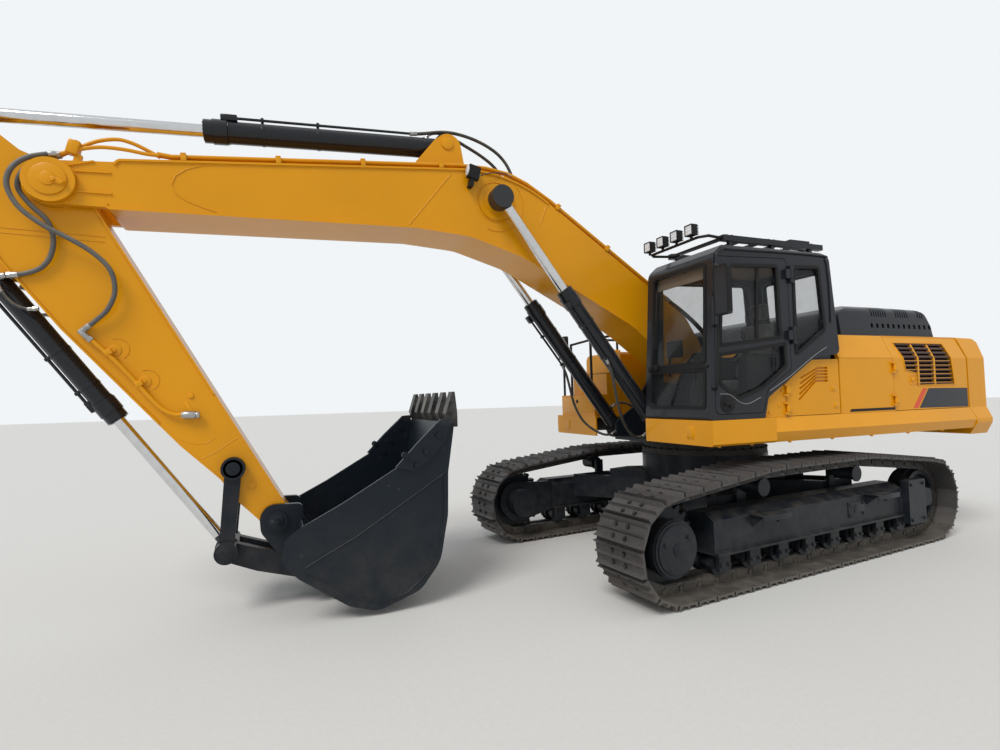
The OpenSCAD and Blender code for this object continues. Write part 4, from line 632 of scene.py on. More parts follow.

# the ridges under and behind the door are painted light grey: a painted highlight along them
ridge_highlight_paint = painted("ridge_highlight_paint", (0.20, 0.205, 0.21), 0.25, 0.1, 1.8, 0.5)
under_door = [(1.104, 1.755), (0.978, 1.742), (0.865, 1.672), (0.759, 1.656), (0.60, 1.712)]
lines("door_trim", [facing(under_door, side_y + 0.003)],
      0.0045, ridge_highlight_paint, "cab_door", machine, smooth=True)
behind_door = [(0.478, 1.77), (0.209, 1.905), (0.127, 1.955), (-0.152, 2.118), (-0.33, 2.205)]
lines("cab_lower_trim", [facing(behind_door, side_y + 0.003)],
      0.0045, ridge_highlight_paint, "upper", machine, smooth=True)
over_door = [(1.10, 2.93), (1.072, 3.075), (0.99, 3.121), (0.873, 3.128), (-0.28, 3.15), (-0.375, 3.10),
             (-0.404, 2.937), (-0.414, 2.70), (-0.411, 2.459)]
lines("drip_rail", [facing(over_door, side_y + 0.004)],
      0.011, cab_coat, "upper", machine, smooth=True)

# door handle in its round recess, a lower pull, and the lock's striker
handle = Work(machine)
handle.disc((1.012, side_y - 0.002, 1.662), (0, 1, 0), 0.088, 0.008, 40, 0.004)
handle.disc((1.012, side_y + 0.006, 1.662), (0, 1, 0), 0.066, 0.003, 40, 0.0)
handle.block((0.965, side_y + 0.006, 1.646), (1.062, side_y + 0.026, 1.680), 0.007)
handle.disc((0.985, side_y + 0.02, 1.632), (0, 1, 0), 0.014, 0.006, 20, 0.002)
handle.block((0.372, side_y, 1.96), (0.392, side_y + 0.012, 2.10), 0.004)
handle.done("door_handle", black_plastic, "cab_door", "dark_plastic")
grab_rail = [(1.155, side_y - 0.002, 1.80), (1.175, side_y + 0.05, 1.83), (1.158, side_y + 0.055, 2.1),
             (1.140, side_y + 0.05, 2.36), (1.120, side_y - 0.002, 2.39)]
lines("cab_grab_rail", [grab_rail],
      0.013, black_plastic, "upper", machine, smooth=True)

# wiper with its motor housing under the upper pane, and the bar between the two front panes
wiper = Work(cab_front)
wiper.block((-0.004, 0.56, 0.488), (0.012, 1.44, 0.52), 0.006)
wiper.block((0.002, 0.60, 0.50), (0.045, 0.74, 0.56), 0.012)
wiper.disc((0.04, 0.67, 0.53), (1, 0, 0), 0.022, 0.02, 20, 0.004)
wiper.plate([(0.05, 0.66, 0.53), (0.05, 0.684, 0.53), (0.035, 0.706, 1.02), (0.035, 0.694, 1.02)],
            (0.007, 0, 0))
wiper.block((0.010, 0.688, 0.72), (0.030, 0.712, 1.34), 0.005)
wiper.done("wiper", black_plastic, "upper", "dark_plastic")

# grab bar, rolled sun visor and headlining behind the front panes
lines("inner_grab_bar", [[(1.10, 1.40, 1.75), (1.055, 1.385, 1.80), (1.00, 1.38, 2.35), (1.02, 1.395, 2.42)]],
      0.013, black_plastic, "upper", machine, smooth=True)
lining = painted("headlining", (0.30, 0.245, 0.19), 0.85, 0.1, 1.0, 0.0)
inside = Work(machine)
inside.block((-0.30, 0.60, 3.065), (0.98, 1.40, 3.085), 0.006)
inside.done("headlining", lining, "upper", "seat_fabric")
visor = Work(cab_front)
visor.block((-0.055, 0.62, 1.36), (-0.048, 1.38, 1.50), 0.002)
visor.disc((-0.062, 0.60, 1.505), (0, 1, 0), 0.022, 0.80, 20, 0.004)
visor.done("sun_visor", lining, "upper", "seat_fabric")


# Seat: sewn cushions of grey cloth on a rubber bellows and a sprung scissor base.
# The cushions are blown up by a cloth simulation.
seat_y = 0.93
floor_z = 1.56


def woven(name, colour):
    """Coarse seat cloth: threads over and under, and fibres that catch the light."""
    f = material(name)
    at = f.place()
    warp = f.node("TexWave", {"bands_direction": "Y"}, at, Scale=160, Distortion=1.2)
    weft = f.node("TexWave", {"bands_direction": "X"}, at, Scale=160, Distortion=1.2)
    warp, weft = (f.node("SeparateColor", None, yarn, out=0) for yarn in (warp, weft))
    thread = warp.maths("MAXIMUM", warp, weft)
    worn = f.noise(7, 5, 0.6, at=at).over(0.35, 0.7)
    shade = f.mix(thread * 0.5, tuple(c * 0.55 for c in colour), colour)
    shade = f.mix(worn * 0.3, shade, dust_colour)
    bump = f.node("Bump", None, Strength=0.4, Distance=0.001, Height=thread)
    return f.surface(shade, Roughness=worn * 0.1 + 0.82, Normal=bump, Sheen_Weight=0.3)


seat_cloth = woven("seat_cloth", (0.055, 0.057, 0.062))


def cushion(name, points, thick, corner, cap=0.014):
    """A stuffed pad: a rounded slab that a cloth simulation swells, held to cap from where it started."""
    slab = Work(machine)
    slab.plate(points, thick, corner)
    bmesh.ops.recalc_face_normals(slab.mesh, faces=slab.mesh.faces)
    data = bpy.data.meshes.new(name)
    slab.mesh.to_mesh(data)
    slab.mesh.free()
    pad = added(name, data)
    grid = pad.modifiers.new("grid", "REMESH")
    grid.mode = "VOXEL"
    grid.voxel_size = 0.008
    settle = pad.modifiers.new("settle", "SMOOTH")
    settle.factor = 0.5
    settle.iterations = 6
    bpy.context.view_layer.update()
    start = bpy.data.meshes.new_from_object(pad.evaluated_get(bpy.context.evaluated_depsgraph_get()))
    pad.modifiers.clear()
    pad.data = start
    before = [v.co.copy() for v in start.vertices]
    cloth = pad.modifiers.new("cloth", "CLOTH")
    cloth.settings.use_pressure = True
    cloth.settings.uniform_pressure_force = 4
    cloth.settings.effector_weights.gravity = 0
    cloth.point_cache.frame_start = 1
    cloth.point_cache.frame_end = 20
    for step in range(1, 21):
        bpy.context.scene.frame_set(step)
    blown = pad.evaluated_get(bpy.context.evaluated_depsgraph_get()).data
    moved = [v.co.copy() for v in blown.vertices]
    pad.modifiers.clear()
    bpy.context.scene.frame_set(1)
    for vertex, old, new in zip(start.vertices, before, moved):
        push = new - old
        vertex.co = old + push * min(1, cap / max(push.length, 1e-9))
    start.materials.clear()
    start.materials.append(seat_cloth)
    start.shade_smooth()
    rounded = pad.modifiers.new("rounded", "SUBSURF")
    rounded.levels = rounded.render_levels = 1
    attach(pad, "upper")


cushion("seat_cushion",
        [(0.08, seat_y - 0.225, floor_z + 0.215), (0.57, seat_y - 0.225, floor_z + 0.225),
         (0.57, seat_y + 0.225, floor_z + 0.225), (0.08, seat_y + 0.225, floor_z + 0.215)],
        (0, 0, 0.095), 0.06)
cushion("seat_backrest",
        [(0.165, seat_y - 0.215, floor_z + 0.345), (0.165, seat_y + 0.215, floor_z + 0.345),
         (0.045, seat_y + 0.19, floor_z + 0.945), (0.045, seat_y - 0.19, floor_z + 0.945)],
        (-0.085, 0, -0.01), 0.05)
cushion("headrest",
        [(0.022, seat_y - 0.12, floor_z + 0.985), (0.022, seat_y + 0.12, floor_z + 0.985),
         (0.002, seat_y + 0.11, floor_z + 1.165), (0.002, seat_y - 0.11, floor_z + 1.165)],
        (-0.062, 0, -0.004), 0.035, 0.010)
seat_base = Work(machine)
seat_base.block((0.14, seat_y - 0.18, floor_z + 0.001), (0.47, seat_y + 0.18, floor_z + 0.03), 0.006)
for i in range(6):
    fold = 0.006 * (i % 2)
    seat_base.block((0.15 + fold, seat_y - 0.17 + fold, floor_z + 0.03 + i * 0.026),
                    (0.46 - fold, seat_y + 0.17 - fold, floor_z + 0.056 + i * 0.026), 0.008)
seat_base.block((0.10, seat_y - 0.20, floor_z + 0.186), (0.52, seat_y + 0.20, floor_z + 0.212), 0.008)
for side in (1, -1):
    seat_base.block((0.0, seat_y + side * 0.232 - 0.012, floor_z + 0.30),
                    (0.14, seat_y + side * 0.232 + 0.012, floor_z + 0.42), 0.008)
    seat_base.disc((-0.012, seat_y + side * 0.06, floor_z + 0.93), (-0.1, 0, 1), 0.007, 0.07, 12)
seat_base.done("seat_base", black_plastic, "upper", "dark_plastic")
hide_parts("operator_seat")


# Consoles: moulded boxes with joysticks in rubber bellows, pedals, a screen and a floor mat.
dress(black_plastic, "control_consoles")
console_bits = Work(machine)
for side in (1, -1):
    y = seat_y + side * 0.3
    for i in range(4):
        fold_z = floor_z + 0.56 + i * 0.014
        console_bits.disc((0.5, y, fold_z), (0, 0, 1), 0.046 - i * 0.006, 0.014, 24, 0.004)
    console_bits.disc((0.522, y, floor_z + 0.745), (0.14, 0, 1), 0.024, 0.085, 20, 0.01)
    console_bits.disc((0.53, y - 0.01, floor_z + 0.828), (0.14, 0, 1), 0.008, 0.012, 12, 0.002)
    console_bits.block((0.10, y - 0.045, floor_z + 0.56), (0.40, y + 0.045, floor_z + 0.60), 0.015)
    console_bits.block((0.895, seat_y + side * 0.09 - 0.05, floor_z + 0.06),
                       (1.04, seat_y + side * 0.09 + 0.05, floor_z + 0.068), 0.003)
for i in range(6):
    console_bits.disc((0.30 + (i % 3) * 0.05, seat_y - 0.32 + (i // 3) * 0.04, floor_z + 0.60), (0, 0, 1),
                      0.013, 0.012, 16, 0.003)
console_bits.block((0.60, 0.57, floor_z + 0.001), (1.12, 1.42, floor_z + 0.008), 0.002)
console_bits.block((0.94, 0.60, 2.15), (0.985, 0.82, 2.33), 0.012)
console_bits.disc((0.97, 0.63, 1.95), (0.02, 0.05, 1), 0.014, 0.21, 16)
console_bits.done("console_fittings", black_plastic, "upper", "dark_plastic")
screen_glass = tinted("screen_glass", (0.02, 0.03, 0.035), 0.95)
screen = Work(machine)
screen.block((0.936, 0.615, 2.175), (0.939, 0.805, 2.315), 0.001)
screen.done("blank_screen", screen_glass, "upper", "dark_plastic")


# Roof guard, lamp bar, mirrors and handrails: black tube and bar stock, bolted on.
# Each lamp is a finned die-cast box with nine cells behind a clear lens.
dress(cab_coat, "roof_guard", "handrails", "mirrors")
dress(black_plastic, "work_lamps")
lamp_cells = Work(machine)
lamp_rims = Work(machine)
clear_lens = painted("clear_lens", (0.72, 0.76, 0.80), 0.12, 0.15, 1.0, 0.8)
for i in range(4):
    y = 0.59 + 0.215 * i
    lamp_cells.block((1.1722, y - 0.044, 3.308), (1.1742, y + 0.044, 3.396), 0.001)
    for k in range(9):
        cell = (1.1742, y - 0.029 + 0.029 * (k % 3), 3.323 + 0.029 * (k // 3))
        lamp_cells.disc(cell, (1, 0, 0), 0.0125, 0.003, 10, 0, 0.007)
    lamp_rims.ring(upright(1.171, y - 0.054, y + 0.054, 3.298, 3.406), 0.009, (0.007, 0, 0), 0.006)
    for k in range(7):
        lamp_rims.block((1.090, y - 0.048, 3.305 + 0.0145 * k), (1.109, y + 0.048, 3.310 + 0.0145 * k))
lamp_cells.done("lamp_lenses", clear_lens, "upper", "window_glass")
lamp_rims.done("lamp_rims", black_plastic, "upper", "dark_plastic", 40)
roof_bits = Work(machine)
for y in (0.62, 1.375):
    for x in (-0.28, 0.25, 0.80):
        for dx in (-0.035, 0.035):
            roof_bits.bolt((x + dx, y, 3.29), (0, 0, 1), 0.024)
# aerial on its foot
roof_bits.disc((-0.30, 1.0, 3.19), (0, 0, 1), 0.012, 0.03, 16)
roof_bits.disc((-0.30, 1.0, 3.22), (-0.15, 0, 1), 0.003, 0.19, 8)
# small round lamp at the top of the front post
roof_bits.disc((1.118, 1.482, 2.70), (0.4, 1, 0), 0.03, 0.02, 24, 0.005)
roof_bits.done("roof_fittings", black_plastic, "upper", "dark_plastic")
silvering = material("mirror_face")
haze = silvering.noise(5, 4).over(0.45, 0.8)
silver = silvering.mix(haze, (0.75, 0.78, 0.8), (0.5, 0.5, 0.48))
mirror_face = silvering.surface(silver, Metallic=1.0, Roughness=haze * 0.08 + 0.03)
mirrors = Work(machine)
mirrors.plate(upright(1.1945, 1.612, 1.758, 2.475, 2.885), (-0.003, 0, 0), 0.02)
mirrors.plate(upright(1.1395, -1.458, -1.282, 2.302, 2.588), (-0.003, 0, 0), 0.02)
mirrors.done("mirror_faces", mirror_face, "upper", "chrome_rod")
mirror_rims = Work(machine)
mirror_rims.ring(upright(1.192, 1.598, 1.772, 2.458, 2.902), 0.014, (0.050, 0, 0), 0.03)
mirror_rims.ring(upright(1.137, -1.472, -1.268, 2.288, 2.602), 0.014, (0.046, 0, 0), 0.03)
mirror_rims.disc((1.215, 1.68, 2.87), (0, 0, 1), 0.02, 0.05, 20, 0.004)
mirror_rims.done("mirror_rims", rubber, "upper", "dark_plastic")


# Engine housing: pressed steel panels and doors in the same golden yellow, with dark louvre blades,
# round locks, a blank charcoal plate behind a red slanted stripe, and a near-black sheet of painted shade
# behind the blades.
dress(yellow_coat, "left_panel", "right_panel", "hood_deck", "front_side_door", "radiator_door", "pump_door",
      "fuel_tank", "hydraulic_tank", "tool_box")
dress(black_plastic, "engine_block", "radiator")
house_y = 1.425
crease_z = 2.10
roof_lean = 0.12 / 0.26


def panel_y(z, inwards=0.0):
    """Half width of the housing at height z, where its upper part leans in above the crease."""
    return house_y - max(0, z - crease_z) * roof_lean - inwards


grille_coat = painted("grille_coat", (0.060, 0.020, 0.012), 0.42, 0.5, 2.6, 0.1)
# near-black paint for the sheet behind the blades: painted shade of the housing's inside
opening_shade_coat = painted("opening_shade_coat", (0.012, 0.008, 0.007), 0.8, 0.2, 2.6, 0.0)
stripe_coat = painted("stripe_coat", (0.70, 0.075, 0.02), 0.3, 0.1, 1.2, 0.5)
plate_coat = painted("plate_coat", (0.020, 0.023, 0.030), 0.34, 0.15, 1.2, 0.4)
for side, body in ((1, "grille_door"), (-1, "pump_bay_door")):
    blades = Work(machine)
    for i in range(10):
        z = 1.805 + 0.05 * i
        left = -2.52 + 0.07 * (z - 1.79) / 0.485 + 0.004
        end = -1.834 if z < 1.93 else -1.644 + 0.08 * (z - 1.96) / 0.315
        for x0, x1 in ((left, -2.186), (-2.154, -1.896), (-1.864, end)):
            front = panel_y(z, 0.004)
            blades.plate([(x0, side * (front - 0.034), z + 0.021), (x0, side * (front - 0.010), z + 0.021),
                          (x0, side * front, z + 0.008), (x0, side * front, z - 0.005),
                          (x0, side * (front - 0.034), z - 0.005)], (x1 - x0, 0, 0))
    blades.done(f"louvres_{body}", grille_coat, body, "dark_paint")
    # near-black sheet behind the blades, painted shade of the housing's inside
    opening_shade_sheet = Work(machine)
    for low, high, x0, x1 in ((1.79, 2.10, -2.52, -1.62), (2.10, 2.275, -2.50, -1.56)):
        opening_shade_sheet.plate([(x0, side * panel_y(low, 0.05), low), (x1, side * panel_y(low, 0.05), low),
                           (x1, side * panel_y(high, 0.05), high), (x0, side * panel_y(high, 0.05), high)],
                          (0, -0.003 * side, 0))
    opening_shade_sheet.done(f"screen_{body}", opening_shade_coat, body, "radiator_core")
    sign = Work(machine)
    skin = side * (house_y + 0.0005)
    sign.plate(facing([(-2.03, 1.752), (-2.752, 1.744), (-2.752, 1.522), (-1.85, 1.532)], skin),
               (0, 0.0015 * side, 0))
    sign.done(f"blank_plate_{body}", plate_coat, body, "dark_paint")
    stripe = Work(machine)
    stripe.plate(facing([(-1.741, 1.533), (-1.927, 1.752), (-2.005, 1.752), (-1.825, 1.533)], skin),
                 (0, 0.0015 * side, 0))
    stripe.done(f"slanted_stripe_{body}", stripe_coat, body, "yellow_paint")
    door_bits = Work(machine)
    # lock in its pressed square, and the lip that is rolled round the grille
    lock_square = facing([(-1.815, 1.80), (-1.70, 1.80), (-1.70, 1.91), (-1.815, 1.91)], side * house_y)
    door_bits.ring(lock_square, 0.010, (0, 0.006 * side, 0), 0.012)
    door_bits.disc((-1.758, side * house_y, 1.855), (0, side, 0), 0.028, 0.008, 28, 0.003)
    door_bits.disc((-1.758, side * (house_y + 0.008), 1.855), (0, side, 0), 0.012, 0.004, 16, 0.001)
    door_bits.done(f"door_lock_{body}", yellow_coat, body, "yellow_paint")
    lip = [(-2.52, 1.79), (-1.83, 1.79), (-1.83, 1.925), (-1.64, 1.96), (-1.607, 2.10), (-1.56, 2.275),
           (-2.45, 2.275), (-2.475, 2.10), (-2.52, 1.79)]
    lines(f"grille_lip_{body}", [[(x, side * panel_y(z, -0.001), z) for x, z in lip]],
          0.007, yellow_coat, body, machine)

# pressed panel behind the bent slots of the side door, and its two locks
side_bits = Work(machine)
side_bits.plate(facing([(0.06, 1.62), (-0.45, 1.70), (-0.45, 2.04), (-0.20, 2.04), (0.06, 1.90)], 1.404),
                (0, -0.006, 0))
for x, z in ((-0.47, 1.775), (-0.50, 1.60)):
    side_bits.block((x - 0.045, 1.424, z - 0.03), (x + 0.045, 1.428, z + 0.03), 0.003)
    side_bits.disc((x, 1.428, z), (0, 1, 0), 0.021, 0.007, 24, 0.003)
    side_bits.block((x - 0.010, 1.434, z - 0.003), (x + 0.010, 1.437, z + 0.003))
side_bits.done("side_door_fittings", yellow_coat, "side_door", "yellow_paint")
# lashing hook and drain on the corner panel before the side door
corner_bits = Work(machine)
corner_bits.disc((0.30, 1.4245, 1.63), (0, 1, 0), 0.024, 0.006, 24, 0.002)
corner_bits.bolt((0.44, 1.4245, 1.56), (0, 1, 0), 0.024)
corner_bits.bolt((0.26, 1.4245, 1.77), (0, 1, 0), 0.024)
corner_bits.done("corner_panel_fittings", yellow_coat, "upper", "yellow_paint")
# rain lip along the crease, over the fixed panels
lines("housing_rain_lip",
      [[(x, side * (house_y - 0.001), crease_z) for x in (-1.425, -0.585)] for side in (1, -1)],
      0.005, yellow_coat, "upper", machine)


# Engine lid: a charcoal pressing with a long hump over the engine, slotted on both sides.
# The exhaust comes through it in a bent steel pipe that its heat has browned.
dress(cab_coat, "engine_hood")
pipe_steel = worn_metal("pipe_steel", (0.10, 0.085, 0.075), (0.07, 0.035, 0.022), 0.6, 0.45, 0.7)
dress(pipe_steel, "exhaust_pipe")
lid_bits = Work(machine)
for side in (1, -1):
    # black mesh behind the slots, and latches on the lid's rim
    lid_bits.plate([(-1.40, side * 1.158, 2.45), (-2.42, side * 1.158, 2.45), (-2.40, side * 1.150, 2.62),
                    (-1.40, side * 1.150, 2.70)], (0, -side * 0.003, 0))
    for x in (-2.3, -1.6, -0.9):
        lid_bits.block((x - 0.05, side * 1.20 - 0.022, 2.36), (x + 0.05, side * 1.20 + 0.022, 2.375), 0.005)
    lid_bits.block((-0.80, side * 0.9 - 0.06, 2.36), (-0.70, side * 0.9 + 0.06, 2.366), 0.002)
lid_bits.done("lid_mesh_and_latches", black_plastic, "hood", "dark_plastic")
thirds = (0.5, 2.6, 4.7)
exhaust_seal = Work(machine)
exhaust_seal.disc((-1.60, -0.70, 2.758), (0, 0, 1), 0.088, 0.012, 40, 0.004, 0.078)
exhaust_seal.bolt_circle((-1.60, -0.70, 2.768), (0, 0, 1), 0.078, thirds, 0.014)
exhaust_seal.done("exhaust_collar", black_plastic, "hood", "dark_plastic")


# Counterweight: an iron casting with a skin like fine orange peel, under the yellow paint.
# A charcoal field with two red corners is painted across its tail, and plugs close its lifting threads.
def tail_marks(f, at, paint):
    """The dark six-sided field and its red corners. The field's ends slope in towards top and bottom."""
    y = f.along("Y", at).size()
    z = f.along("Z", at)
    behind = 1.0 - f.along("X", at).over(-4.96, -4.95)
    half = 1.02 - (z - 1.72).size() * 0.45
    height = z.near(1.70, 0.27)
    field = (half - y).over(0.0, 0.004) * height * behind
    corner = (half + 0.17 - y).over(0.0, 0.004) * z.near(1.86, 0.11) * behind
    return f.mix(field, f.mix(corner, paint, (0.70, 0.075, 0.02)), (0.020, 0.023, 0.030))


weight_coat = painted("weight_coat", yellow, 0.33, 0.09, 1.7, 0.30, tail_marks)
dress(weight_coat, "counterweight")
tail_x = -3.43
weight_bits = Work(machine)
for y in (-1.18, -0.62, 0.62, 1.18):
    x = -math.sqrt(tail_x**2 - y**2)
    weight_bits.disc((x + 0.006, y, 1.33), (x, y, 0), 0.034, 0.010, 28, 0.003)
for y in (-0.45, 0.45):
    weight_bits.disc((-2.95, y, 2.358), (0, 0, 1), 0.05, 0.014, 28, 0.004)
    weight_bits.bolt((-2.95, y, 2.372), (0, 0, 1), 0.05)
weight_bits.done("counterweight_plugs", yellow_coat, "upper", "cast_weight")
tail_lamps = Work(machine)
for side in (1, -1):
    x = -math.sqrt(tail_x**2 - 1.23**2)
    tail_lamps.disc((x + 0.012, side * 1.23, 1.93), (x, side * 1.23, 0), 0.045, 0.012, 28, 0.004)
tail_lamps.done("tail_reflectors", stripe_coat, "upper", "dark_plastic")


# Right side: fuel and oil tanks of folded plate, and the tool box that the driver climbs.
# Filler caps, a sight gauge, box locks and rows of bolts are fixed to them.
tank_bits = Work(machine)
tank_bits.disc((0.56, -0.98, 2.33), (0, 0, 1), 0.075, 0.02, 32, 0.005)
tank_bits.disc((0.56, -0.98, 2.35), (0, 0, 1), 0.062, 0.035, 12, 0.006)
tank_bits.disc((-0.13, -0.98, 2.365), (0, 0, 1), 0.078, 0.012, 32, 0.004)
tank_bits.bolt_circle((-0.13, -0.98, 2.375), (0, 0, 1), 0.062, [i * math.pi / 3 for i in range(6)], 0.016)
tank_bits.block((0.30, -1.402, 1.60), (0.312, -0.60, 2.25), 0.002)
for x in (-0.52, -0.12, 0.26, 0.34, 0.74):
    for z in (1.56, 2.20):
        tank_bits.bolt((x, -1.40, z), (0, -1, 0), 0.022)
tank_bits.disc((-0.42, -1.398, 1.95), (0, -1, 0), 0.05, 0.012, 32, 0.004)
tank_bits.block((0.81, -1.404, 1.56), (1.17, -1.399, 1.75), 0.003)
tank_bits.block((0.81, -1.404, 1.81), (0.98, -1.399, 2.02), 0.003)
tank_bits.block((1.1895, -1.36, 1.55), (1.194, -0.60, 1.75), 0.003)
tank_bits.done("tank_fittings", yellow_coat, "upper", "yellow_paint")
box_locks = Work(machine)
for x, y, z, axis in ((1.194, -0.98, 1.70, (1, 0, 0)),
                      (0.99, -1.404, 1.70, (0, -1, 0)),
                      (0.90, -1.404, 1.97, (0, -1, 0))):
    box_locks.disc((x, y, z), axis, 0.024, 0.008, 24, 0.003)
box_locks.block((0.42, -1.408, 1.66), (0.45, -1.398, 2.18), 0.004)
box_locks.block((0.05, -1.408, 1.88), (0.07, -1.398, 2.10), 0.004)
for x, y in ((1.17, -0.64), (1.08, -1.30)):
    box_locks.disc((x, y, 1.778), (0, 0, 1), 0.04, 0.008, 24, 0.003)
box_locks.done("box_locks", black_plastic, "upper", "dark_plastic")


# Boom: a box of bent steel plate. Its top and bottom flanges stand proud of the webs and are welded
# along them, a doubler is welded inside the nose, and pins are held by keeper plates.
def turned(at, degrees):
    return Matrix.Translation(at) @ Matrix.Rotation(math.radians(degrees), 4, "Y")


boom_at = turned(joint_at["boom_lift"], -13.26)
arm_at = turned(joint_at["arm_swing"], 120)


def rounded(rows, steps=6):
    """Points of the closed outline with corners (x, z, radius), as one list for each corner."""
    corners = []
    for before, here, after in zip(rows[-1:] + rows[:-1], rows, rows[1:] + rows[:1]):
        corner = Vector(here[:2])
        if not here[2]:
            corners.append([corner])
            continue
        back = (Vector(before[:2]) - corner).normalized()
        on = (Vector(after[:2]) - corner).normalized()
        half = back.angle(on) / 2
        centre = corner + (back + on).normalized() * here[2] / math.sin(half)
        first = corner + back * here[2] / math.tan(half) - centre
        last = corner + on * here[2] / math.tan(half) - centre
        corners.append([centre + first.slerp(last, k / steps) * here[2] for k in range(steps + 1)])
    return corners


def beside(path, depth):
    """The same path, moved to its left by depth."""
    moved = []
    for i, point in enumerate(path):
        run = path[min(i + 1, len(path) - 1)] - path[max(i - 1, 0)]
        moved.append(point + Vector((-run.y, run.x)).normalized() * depth)
    return moved


def chain_of(corners):
    return [point for corner in corners for point in corner]


def flanges(work, chains, y, proud, thick):
    """Edges of the flange plates that stand proud of both webs along these chains."""
    for side in (1, -1):
        for path in chains:
            work.plate([(p.x, side * (y - 0.002), p.y) for p in path + beside(path, thick)[::-1]],
                       (0, side * (proud + 0.002), 0))


def seams(chains, y, depth):
    """Weld beads along the inner corner of those flange edges."""
    return [[(p.x, side * (y + 0.002), p.y) for p in beside(path, depth)]
            for path in chains for side in (1, -1)]


dress(yellow_coat, "boom", "boom_pipes")
dress(black_plastic, "boom_lamp")
web_y = 0.28
nose_x = 6.418
rod_pin_x = 2.858
rod_pin_z = 1.085
fork_x = 3.451
fork_z = 1.565
boom_corners = rounded([(0.12, -0.13, 0.06), (1.0, 0.245, 0.9), (2.45, 0.61, 0.9), (3.05, 0.645, 0.7),
                        (3.6, 0.555, 0.9), (6.04, -0.10, 0.04), (6.063, 0.322, 0.06), (2.791, 1.467, 1.5),
                        (0.3, 0.545, 0.3), (-0.15, 0.11, 0.09)], 10)
# the flange plates end flush with the web where the foot turns between the cheeks
foot_reach = 0.92
boom_chains = [[p for p in chain_of(part) if p.length > foot_reach]
               for part in (boom_corners[:6], boom_corners[6:9])]
boom_work = Work(boom_at)
flanges(boom_work, boom_chains, web_y, 0.014, 0.018)
for side in (1, -1):
    # stiffening strips and keeper plates at the nose
    for a, b in (((6.288, 0.135), (6.06, 0.203)),
                 ((6.281, -0.031), (6.015, 0.04)),
                 ((6.337, 0.165), (6.187, 0.255))):
        run = (Vector(b) - Vector(a)).normalized() * 0.006
        strip = [(a[0] + run.y, a[1] - run.x), (b[0] + run.y, b[1] - run.x),
                 (b[0] - run.y, b[1] + run.x), (a[0] - run.y, a[1] + run.x)]
        boom_work.plate(facing(strip, side * web_y), (0, side * 0.012, 0))
    boom_work.disc((nose_x, side * 0.334, 0), (0, side, 0), 0.122, 0.012, 48, 0.004)
    boom_work.disc((nose_x, side * 0.346, 0), (0, side, 0), 0.052, 0.008, 36, 0.003)
    boom_work.block((6.30, side * 0.352 - 0.008, -0.022), (6.40, side * 0.352 + 0.008, 0.022), 0.005)
    for dx in (0.02, 0.08):
        boom_work.bolt((6.30 + dx, side * 0.36, 0), (0, side, 0), 0.03)
    # clamp block of the nose pipes on its post
    boom_work.block((6.275, side * 0.255 - 0.02, 0.16), (6.325, side * 0.255 + 0.02, 0.275), 0.004)
    boom_work.block((6.305, side * 0.252 - 0.046, 0.262), (6.385, side * 0.252 + 0.046, 0.372), 0.008)
    boom_work.bolt((6.345, side * 0.252, 0.372), (0.35, 0, 1), 0.026)
    # saddles over the pipes, closed by two bolts
    for x in (0.76, 1.50, 2.18, 3.48, 4.20, 4.90, 5.60):
        slope = 0.370 if x < 2.791 else -0.35
        z = 0.545 + (x - 0.3) * 0.370 if x < 2.791 else 1.467 + (x - 2.791) * slope
        lean = Matrix.Translation((x, side * 0.2465, z)) @ Matrix.Rotation(-math.atan(slope), 4, "Y")
        boom_work.where = boom_at @ lean
        boom_work.block((-0.022, -0.052, 0.050), (0.022, 0.052, 0.066), 0.004)
        boom_work.bolt((0, 0, 0.066), (0, 0, 1), 0.026)
        for y in (-0.044, 0.044):
            boom_work.block((-0.022, y - 0.006, 0.0), (0.022, y + 0.006, 0.052), 0.002)
        boom_work.where = boom_at
boom_work.done("boom_flanges", yellow_coat, "boom", "yellow_paint", 40)
nose_doubler = [(5.36, 0.545), (5.47, 0.492), (5.57, 0.42), (5.63, 0.34), (5.64, 0.26), (5.59, 0.19),
                (5.49, 0.158), (5.35, 0.146), (5.20, 0.139)]
boom_welds = seams(boom_chains, web_y, 0.022)
for side in (1, -1):
    boom_welds += [
        facing(nose_doubler, side * (web_y + 0.001)),
        [(3.377, side * web_y, 1.20), (3.668, side * web_y, 0.575)],
        [(2.301, side * web_y, 1.26), (2.315, side * web_y, 1.15), (2.334, side * web_y, 1.013)],
        round_bead(rod_pin_x, side * (web_y + 0.003), rod_pin_z, 0.205, 4, range(26)),
        round_bead(rod_pin_x, side * (web_y + 0.001), rod_pin_z, 0.30, 6, range(10, 30)),
        round_bead(nose_x, side * (web_y + 0.003), 0, 0.178, 4, range(26)),
    ]
boom_welds.append([(0.62, -web_y, 0.64), (0.62, web_y, 0.64)])
boom_welds.append([(4.6, -web_y, 0.835), (4.6, web_y, 0.835)])
lines("boom_welds", boom_welds, 0.0055, yellow_coat, "boom", boom_at)
outer_pipe = [(5.78, 0.470), (5.87, 0.448), (6.02, 0.428), (6.17, 0.390), (6.28, 0.335), (6.36, 0.280),
              (6.425, 0.230)]
inner_pipe = [(5.78, 0.470), (5.90, 0.497), (6.00, 0.512), (6.10, 0.503), (6.22, 0.440), (6.32, 0.345),
              (6.425, 0.232)]
nose_pipes = []
for side in (1, -1):
    nose_pipes += [facing(outer_pipe, side * 0.265), facing(inner_pipe, side * 0.228)]
lines("nose_pipes", nose_pipes, 0.016, yellow_coat, "boom", boom_at, smooth=True)
fork_pin = Work(boom_at)
